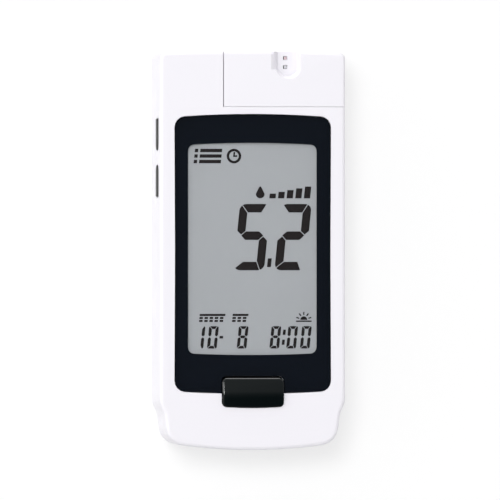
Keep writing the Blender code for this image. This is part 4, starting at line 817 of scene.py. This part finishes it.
# %% Shapes for the signs
RING_SIDES = 40
DROP_TAPER = 0.35  # the share of its breadth that a drop has lost by its tip


def disc(x, y, radius):
    """A flat disc at its place on the display."""
    bpy.ops.object.select_all(action="DESELECT")
    bpy.ops.mesh.primitive_circle_add(
        vertices=RING_SIDES, radius=radius, fill_type="NGON", location=(x, y, display_top)
    )
    shape = bpy.context.object
    bpy.ops.object.transform_apply(location=True, rotation=True, scale=True)
    return shape


def ring(x, y, radius, breadth):
    """A flat ring: a disc whose face is inset and taken out."""
    shape = disc(x, y, radius)
    edit_some(shape, "FACE", lambda face: True)
    bpy.ops.mesh.inset(thickness=breadth, depth=0)
    bpy.ops.mesh.delete(type="FACE")
    bpy.ops.object.mode_set(mode="OBJECT")
    thicken(shape, BAR_THICKNESS)
    return shape


def half_disc(x, y, radius):
    """The upper half of a disc."""
    shape = disc(x, y, radius)
    cut_along(shape, (x, y), 0, 1, 0)
    thicken(shape, BAR_THICKNESS)
    return shape


def drop(x, y, radius, tip):
    """A drop: a disc whose upper points are drawn together to a tip."""
    shape = disc(x, y, radius)
    for corner in shape.data.vertices:
        rise = max(0.0, corner.co.y - y) / radius
        corner.co.y = y + (corner.co.y - y) * (1 + (tip / radius - 1) * rise ** 2)
        corner.co.x = x + (corner.co.x - x) * (1 - DROP_TAPER * rise)
    thicken(shape, BAR_THICKNESS)
    return shape


def bar_at(left, low, breadth, height):
    """A leaning bar with round corners, by its lower left corner and its size."""
    return dot(left, left + breadth, low, low + height, DOT_ROUND, SMALL_SLANT)


# %% Stored readings: a list and a clock
LIST_LEFT, LIST_LOW, LIST_PITCH, LIST_ROWS = -14.50 * MM, 21.50 * MM, 1.36 * MM, 3
STROKE, LINE_START, LINE_LENGTH = 0.84 * MM, 1.344 * MM, 5.40 * MM
CLOCK_X, CLOCK_Y, CLOCK_RADIUS, CLOCK_RIM = -4.50 * MM, 23.27 * MM, 1.80 * MM, 0.62 * MM
HAND_BREADTH, MINUTE_HAND, HOUR_HAND, HAND_LEAN = 0.40 * MM, 1.20 * MM, 1.00 * MM, 0.02 * MM

parts = []
for row in range(LIST_ROWS):
    low = LIST_LOW + row * LIST_PITCH
    left = LIST_LEFT + SMALL_SLANT * row * LIST_PITCH
    parts.append(bar_at(left, low, STROKE, STROKE))
    parts.append(bar_at(left + LINE_START, low, LINE_LENGTH, STROKE))
parts.append(ring(CLOCK_X, CLOCK_Y, CLOCK_RADIUS, CLOCK_RIM))
left, low = CLOCK_X - HAND_BREADTH / 2, CLOCK_Y - HAND_BREADTH / 2
parts.append(bar_at(left - HAND_LEAN, low, HAND_BREADTH, MINUTE_HAND))
parts.append(bar_at(left, low, HOUR_HAND, HAND_BREADTH))
show(joined(parts), "sign_store")

# %% Level: a drop and a rising row of bars
DROP_X, DROP_Y, DROP_RADIUS, DROP_TIP = 2.00 * MM, 13.98 * MM, 1.08 * MM, 1.84 * MM
LEVEL_LEFT, LEVEL_LOW, LEVEL_HIGH = 4.25 * MM, 12.90 * MM, 15.80 * MM
LEVEL_BARS, LEVEL_PITCH, LEVEL_BREADTH = 5, 2.14 * MM, 1.55 * MM
LEVEL_FOOT = 0.25  # the share of the full height that the rising row starts from

parts = [drop(DROP_X, DROP_Y, DROP_RADIUS, DROP_TIP)]
for step in range(LEVEL_BARS):
    share = LEVEL_FOOT + (1 - LEVEL_FOOT) * (step + 1) / LEVEL_BARS
    height = (LEVEL_HIGH - LEVEL_LOW) * share
    parts.append(bar_at(LEVEL_LEFT + step * LEVEL_PITCH, LEVEL_LOW, LEVEL_BREADTH, height))
show(joined(parts), "sign_level")

# %% Date: two calendar sheets
SHEET_LOW, SHEET_HEAD = -17.48 * MM, 0.52 * MM
CELL_ROWS, CELL_HEIGHT, CELL_PITCH = 2, 0.50 * MM, 0.73 * MM
CELL_SHARE = 0.68  # the part of a column that its day fills


def calendar(left, breadth, columns):
    """A calendar sheet: rows of days with a head bar over them."""
    cell = breadth / columns
    rise = CELL_ROWS * CELL_PITCH
    shapes = [bar_at(left + SMALL_SLANT * rise, SHEET_LOW + rise, breadth, SHEET_HEAD)]
    for row in range(CELL_ROWS):
        for column in range(columns):
            start = left + column * cell + SMALL_SLANT * row * CELL_PITCH
            low = SHEET_LOW + row * CELL_PITCH
            shapes.append(bar_at(start, low, cell * CELL_SHARE, CELL_HEIGHT))
    return joined(shapes)


show(calendar(-13.15 * MM, 6.35 * MM, 5), "sign_month")
show(calendar(-5.00 * MM, 3.90 * MM, 3), "sign_day")

# %% Morning: a rising sun
SUN_X, SUN_LOW, SUN_RADIUS, SUN_GAP = 12.80 * MM, -17.48 * MM, 0.86 * MM, 0.16 * MM
HORIZON_HALF, HORIZON_HEIGHT, HORIZON_ROUND = 1.95 * MM, 0.34 * MM, 0.10 * MM
RAY_START, RAY_END, RAY_BREADTH = 1.20 * MM, 1.95 * MM, 0.30 * MM
RAY_TURNS = (-72, -36, 0, 36, 72)

horizon_top = SUN_LOW + HORIZON_HEIGHT
sun_base = horizon_top + SUN_GAP
left, right = SUN_X - HORIZON_HALF, SUN_X + HORIZON_HALF
parts = [
    dot(left, right, SUN_LOW, horizon_top, HORIZON_ROUND, 0),
    half_disc(SUN_X, sun_base, SUN_RADIUS),
]
for degrees in RAY_TURNS:
    ray = plane(-RAY_BREADTH / 2, RAY_BREADTH / 2, RAY_START, RAY_END)
    thicken(ray, BAR_THICKNESS)
    turn = Matrix.Rotation(math.radians(degrees), 4, "Z")
    ray.data.transform(Matrix.Translation((SUN_X, sun_base, display_top)) @ turn)
    parts.append(ray)
show(joined(parts), "sign_morning")

# %% [markdown]
# The main button is a bar of black ABS with a soft ridge across it: its upper slope looks at
# the bright end of the studio and its lower slope at the dark one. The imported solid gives
# the walls and the flange. Its roof is cut off and made again: the walls are pulled up and
# two slanting cuts make the slopes.

# %% Main button
CAP_START = 1.6 * MM  # over the button's lowest point: above its flange, below its roof
ROOF_START = 0.25 * MM
ROOF_PULL = 3.0 * MM
ROOF_SLOPE = math.radians(10.8)
ROOF_CREST = -0.15 * MM
RIDGE_DROP = 0.35 * MM

button_low, button_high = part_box("main_button")
cap_from = button_low.z + CAP_START
button = copy_of(nodes["main_button"])
ridge_y = max(button.data.vertices, key=lambda corner: corner.co.z).co.y - RIDGE_DROP
rim_lowest = min(corner.co.z for corner in button.data.vertices if corner.co.z > cap_from)
crest = Vector((0, ridge_y, button_high.z + ROOF_CREST))
print("ridge at y, mm:", round(ridge_y / MM, 2), "rim from z:", round(rim_lowest / MM, 2))

edit_all(button)
bpy.ops.mesh.bisect(
    plane_co=(0, 0, rim_lowest - ROOF_START), plane_no=(0, 0, 1), clear_outer=True,
    use_fill=True, threshold=CUT_THRESHOLD,
)
bpy.ops.mesh.select_all(action="SELECT")
bpy.ops.mesh.dissolve_limited(angle_limit=FLAT_ANGLE)
bpy.ops.object.mode_set(mode="OBJECT")
cap_height = max(corner.co.z for corner in button.data.vertices)


def is_cap(face):
    """Whether a face closes the top."""
    return face.normal.z > LEVEL and face.center.z > cap_height - CUT_THRESHOLD


edit_some(button, "FACE", is_cap)
bpy.ops.mesh.extrude_region_move(TRANSFORM_OT_translate={"value": (0, 0, ROOF_PULL)})
for side in (1, -1):
    slope = Vector((0, side * math.sin(ROOF_SLOPE), math.cos(ROOF_SLOPE)))
    bpy.ops.mesh.select_all(action="SELECT")
    bpy.ops.mesh.bisect(
        plane_co=crest, plane_no=slope, clear_outer=True, use_fill=True,
        threshold=CUT_THRESHOLD,
    )
bpy.ops.object.mode_set(mode="OBJECT")

# %% [markdown]
# A wide bevel makes the ridge soft. Round the slopes runs a narrow slanting rim, which
# catches the horizon as a thin bright line. It comes from an inset of the whole roof that
# lifts the slopes a little over their edge, and it is rounded where it meets them.

# %% Edges of the button
RIDGE_ROUND = 0.95 * MM
RIDGE_STEPS = 8
RIM_BREADTH = 0.27 * MM
RIM_RISE = 0.15 * MM
RIM_ROUND = 0.13 * MM
RIM_STEPS = 6
BUTTON_SMOOTH_UP_TO = math.radians(20)


def is_ridge(edge):
    """Whether an edge is the ridge between the slopes."""
    ends = [button.data.vertices[index].co for index in edge.vertices]
    return all(
        abs(end.y - ridge_y) < CUT_THRESHOLD and end.z > crest.z - CUT_THRESHOLD for end in ends
    )


def is_roof(face):
    """Whether a face belongs to the slopes or the ridge between them."""
    return face.normal.z > LEVEL and face.center.z > cap_height


edit_some(button, "EDGE", is_ridge)
bpy.ops.mesh.bevel(offset=RIDGE_ROUND, segments=RIDGE_STEPS, affect="EDGES")
bpy.ops.object.mode_set(mode="OBJECT")
print("crest after rounding, mm:", round(max(c.co.z for c in button.data.vertices) / MM, 3))

edit_some(button, "FACE", is_roof)
bpy.ops.mesh.inset(thickness=RIM_BREADTH, depth=RIM_RISE)
bpy.ops.mesh.select_mode(type="EDGE")
bpy.ops.mesh.region_to_loop()
bpy.ops.mesh.bevel(offset=RIM_ROUND, segments=RIM_STEPS, affect="EDGES")
bpy.ops.object.mode_set(mode="OBJECT")
bpy.ops.object.shade_smooth_by_angle(angle=BUTTON_SMOOTH_UP_TO)

# %% [markdown]
# A button never sits quite in the middle of its opening: here the gap is wider at the left
# and at the top. The part above the flange is made a trace broader and shorter and moved
# down by about a quarter of a millimetre, which still leaves a gap all round.

# %% Seat of the button
GROWTH_X, GROWTH_Y = 0.09 * MM, -0.045 * MM
SHIFT_X, SHIFT_Y = 0.06 * MM, -0.235 * MM

cap_corners = [corner.co for corner in button.data.vertices if corner.co.z > cap_from]
cap_breadth = max(c.x for c in cap_corners) - min(c.x for c in cap_corners)
cap_length = max(c.y for c in cap_corners) - min(c.y for c in cap_corners)
cap_middle = (button_low.y + button_high.y) / 2
for corner in cap_corners:
    corner.x = corner.x * (1 + 2 * GROWTH_X / cap_breadth) + SHIFT_X
    corner.y = cap_middle + (corner.y - cap_middle) * (1 + 2 * GROWTH_Y / cap_length) + SHIFT_Y
print("cap, mm:", round(cap_breadth / MM, 2), "by", round(cap_length / MM, 2))

# %% [markdown]
# The button is black ABS from a nearly polished mould, a good deal glossier than the white
# case, so it mirrors the studio. A faint unevenness is left in its gloss.

# %% Black ABS
BUTTON_GRAIN = 0.18 * MM
BUTTON_HEIGHT = 0.0002 * MM

abs_black, tree, shader = new_material("abs_black_satin", "050B0C", 0.10)
give_grain(tree, shader, BUTTON_GRAIN, BUTTON_HEIGHT, ("030A0B", "060D0F"), (0.09, 0.12))
hand_over(button, "main_button_cap", abs_black, "button")
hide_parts("main_button")

# %% [markdown]
# The two side keys are moulded in a black elastomer, which is duller than the button and
# a shade lighter, as rubber is.

# %% Side keys
KEY_GRAIN = 0.15 * MM
KEY_HEIGHT = 0.0008 * MM

elastomer_black, tree, shader = new_material("tpe_black_moulded", "1C1D1E", 0.55)
give_grain(tree, shader, KEY_GRAIN, KEY_HEIGHT, ("19191A", "212223"), (0.50, 0.62))
dress(elastomer_black, "side_key_upper", "side_key_lower")

# %% [markdown]
# The two small windows in the floor of the strip port are faintly tinted polycarbonate over
# the light sensor. Their left edge lies in the shade of the recess's left wall, and that
# shade is painted into the colour as black. The rest shows its tint, a pale rose in one and
# a pale violet grey in the other. The painted shade is set by the place across the window.

# %% Port windows
# The share of each window's breadth, from its left edge, that gets painted shade, and the black
# of that shade.
PAINTED_SHADE_SHARE = 0.17
PAINTED_SHADE_BLACK = "0A090B"
TINT_GRAIN = 0.3 * MM
POLYCARBONATE_IOR = 1.58


def tinted_window(name, node, tint, deeper):
    """Tinted plastic whose left part has painted shade in black."""
    low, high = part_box(node)
    material, tree, shader = new_material(name, tint, 0.12, ior=POLYCARBONATE_IOR)
    noise = grain_noise(tree, TINT_GRAIN)
    cloudy = add_node(
        tree, "ShaderNodeMix", {0: noise, 6: linear(tint), 7: linear(deeper)}, data_type="RGBA"
    )
    across = add_node(tree, "ShaderNodeSeparateXYZ", {0: object_place(tree)}).outputs["X"]
    # Left of this line the colour is painted shade, and right of it the window's own tint.
    unshaded_part = add_node(
        tree, "ShaderNodeMath", {0: across, 1: low.x + (high.x - low.x) * PAINTED_SHADE_SHARE},
        operation="GREATER_THAN",
    )
    shown = add_node(
        tree, "ShaderNodeMix",
        {0: unshaded_part.outputs[0], 6: linear(PAINTED_SHADE_BLACK), 7: cloudy.outputs[2]},
        data_type="RGBA",
    )
    tree.links.new(shown.outputs[2], shader.inputs["Base Color"])
    dress(material, node)


tinted_window("polycarbonate_red", "port_window_upper", "F2E0E4", "E8CCD3")
tinted_window("polycarbonate_violet", "port_window_lower", "ECEBEE", "D2D3DC")

# %% [markdown]
# Inside the case sit the pieces that show when the battery door and the port cover are off,
# and some that never show. Each still gets what it is made of, because the part is also
# used open. Plain mouldings differ only in colour and grain, so a table lists them.

# %% Plain inner mouldings
# Dark and light tint, grain and bump height in millimetres, roughness range, and pieces.
PLAIN_FINISHES = {
    "foam_die_cut": ("191A1B", "222324", 0.35, 0.0200, (0.85, 0.95), ("lens_gasket",)),
    "abs_grey_moulded": ("8A8D90", "929598", 0.25, 0.0010, (0.42, 0.52), ("lcd_holder",)),
    "pbt_black_moulded": (
        "161718", "1E1F20", 0.20, 0.0010, (0.38, 0.50),
        ("buzzer", "optical_sensor", "main_switch"),
    ),
    "epoxy_resin_moulded": (
        "1F2022", "292A2C", 0.10, 0.0012, (0.50, 0.62), ("processor_chip", "memory_chip"),
    ),
}
for name, (dark, light, grain, height, gloss, names) in PLAIN_FINISHES.items():
    material, tree, shader = new_material(name, dark, gloss[0])
    give_grain(tree, shader, grain * MM, height * MM, (dark, light), gloss)
    dress(material, *names)

# %% [markdown]
# Steel parts are nickel-plated: contacts, springs, domes, screws and the crystal's can.
# Nickel is a warm white metal. It was pressed or drawn, which leaves fine scratches, here
# drawn as a noise that is stretched along one direction.

# %% Nickel-plated steel
SCRATCH_GRAIN = 0.12 * MM
SCRATCH_STRETCH = (1.0, 0.12, 1.0)
SCRATCH_HEIGHT = 0.001 * MM

nickel, tree, shader = new_material("steel_nickel_plated", "C6C2BA", 0.28, metallic=1.0)
stretched = add_node(
    tree, "ShaderNodeMapping", {"Vector": object_place(tree), "Scale": SCRATCH_STRETCH}
)
scratches = add_node(
    tree, "ShaderNodeTexNoise",
    {"Vector": stretched.outputs[0], "Scale": scale_for(SCRATCH_GRAIN), "Detail": GRAIN_DETAIL},
).outputs["Fac"]
uneven = add_node(
    tree, "ShaderNodeMapRange", {"Value": scratches, "To Min": 0.20, "To Max": 0.38}
)
tree.links.new(uneven.outputs["Result"], shader.inputs["Roughness"])
toned = add_node(
    tree, "ShaderNodeMix", {0: scratches, 6: linear("BDB9B0"), 7: linear("CFCBC4")},
    data_type="RGBA",
)
tree.links.new(toned.outputs[2], shader.inputs["Base Color"])
bump = add_node(tree, "ShaderNodeBump", {"Height": scratches, "Distance": SCRATCH_HEIGHT})
tree.links.new(bump.outputs["Normal"], shader.inputs["Normal"])
dress(
    nickel, "quartz_crystal", "side_dome_upper", "side_dome_lower", "contact_plate_positive",
    "contact_plate_negative", "contact_plate_link", "contact_spring_left",
    "contact_spring_right", "housing_screw_1", "housing_screw_2", "housing_screw_3",
    "housing_screw_4",
)

# %% [markdown]
# A circuit board is glass fibre under green solder mask. Copper tracks show through the
# mask as paler green lines, mostly along and across the board. A brick pattern draws just
# that: its joints are the tracks, and its rows are one track spacing apart.

# %% Circuit boards
TRACK_SPACING = 1.27 * MM
TRACK_LENGTH = 6.0 * MM
TRACK_WIDTH = 0.18 * MM
TRACK_HEIGHT = 0.03 * MM

board_mask, tree, shader = new_material("fr4_green_solder_mask", "1B5A3A", 0.32)
tracks = add_node(
    tree, "ShaderNodeTexBrick",
    {"Vector": object_place(tree), "Color1": linear("174F33"), "Color2": linear("1A573A"),
     "Mortar": linear("3C8A5C"), "Scale": 1.0, "Mortar Size": TRACK_WIDTH / 2,
     "Brick Width": TRACK_LENGTH, "Row Height": TRACK_SPACING},
)
tree.links.new(tracks.outputs["Color"], shader.inputs["Base Color"])
bump = add_node(
    tree, "ShaderNodeBump", {"Height": tracks.outputs["Fac"], "Distance": TRACK_HEIGHT}
)
tree.links.new(bump.outputs["Normal"], shader.inputs["Normal"])
dress(board_mask, "main_board", "side_key_board")

# %% [markdown]
# The strip that joins the display to the board is silicone rubber, sliced from a sandwich
# of conducting black and insulating pink layers, so it is striped across its length like a
# zebra. The stripes are drawn at 0.4 mm, about four times too coarse, so that they show.

# %% Striped connector
STRIPE = 0.4 * MM
WAVE_PERIOD = 2 * math.pi / 20  # the length in which a wave of scale 1 repeats, in metres

zebra, tree, shader = new_material("silicone_zebra_strip", "5A4A4C", 0.6)
stripes = add_node(
    tree, "ShaderNodeTexWave",
    {"Vector": object_place(tree), "Scale": WAVE_PERIOD / STRIPE},
    wave_type="BANDS", bands_direction="X",
)
banded = add_node(
    tree, "ShaderNodeMix",
    {0: stripes.outputs["Fac"], 6: linear("1A1A1B"), 7: linear("B08F90")}, data_type="RGBA",
)
tree.links.new(banded.outputs[2], shader.inputs["Base Color"])
dress(zebra, "elastomer_connector")

# %% [markdown]
# A battery cell is a steel can in a printed plastic sleeve that leaves both ends bare. One
# material does both: the place along the cell tells sleeve from steel. The sleeve is dark
# grey with one light band near the plus end, as plain cells have.

# %% Battery cells
BARE_END = 1.3 * MM
BAND_START = 4.5 * MM
BAND_END = 9.5 * MM
SLEEVE_GRAIN = 0.5 * MM


def between(tree, value, low, high):
    """1 where the value lies between two limits, else 0."""
    above = add_node(tree, "ShaderNodeMath", {0: value, 1: low}, operation="GREATER_THAN")
    below = add_node(tree, "ShaderNodeMath", {0: value, 1: high}, operation="LESS_THAN")
    return add_node(
        tree, "ShaderNodeMath", {0: above.outputs[0], 1: below.outputs[0]}, operation="MULTIPLY"
    ).outputs[0]


def cell_finish(name, node, plus_side):
    """Sleeve and bare ends of one cell. plus_side is 1 where its plus end has the higher y."""
    low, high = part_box(node)
    material, tree, shader = new_material(name, "3A3E43", 0.3)
    y = add_node(tree, "ShaderNodeSeparateXYZ", {0: object_place(tree)}).outputs["Y"]
    sleeved = between(tree, y, low.y + BARE_END, high.y - BARE_END)
    plus = high.y if plus_side > 0 else low.y
    edges = sorted((plus - plus_side * BAND_START, plus - plus_side * BAND_END))
    banded = between(tree, y, *edges)
    noise = grain_noise(tree, SLEEVE_GRAIN)
    sleeve = add_node(
        tree, "ShaderNodeMix", {0: noise, 6: linear("363A3F"), 7: linear("40444A")},
        data_type="RGBA",
    )
    printed = add_node(
        tree, "ShaderNodeMix", {0: banded, 6: sleeve.outputs[2], 7: linear("C9CBCD")},
        data_type="RGBA",
    )
    whole = add_node(
        tree, "ShaderNodeMix", {0: sleeved, 6: linear("C6C2BA"), 7: printed.outputs[2]},
        data_type="RGBA",
    )
    tree.links.new(whole.outputs[2], shader.inputs["Base Color"])
    bare = add_node(tree, "ShaderNodeMath", {0: 1.0, 1: sleeved}, operation="SUBTRACT")
    tree.links.new(bare.outputs[0], shader.inputs["Metallic"])
    dress(material, node)


cell_finish("cell_sleeve_left", "battery_cell_left", 1)
cell_finish("cell_sleeve_right", "battery_cell_right", -1)
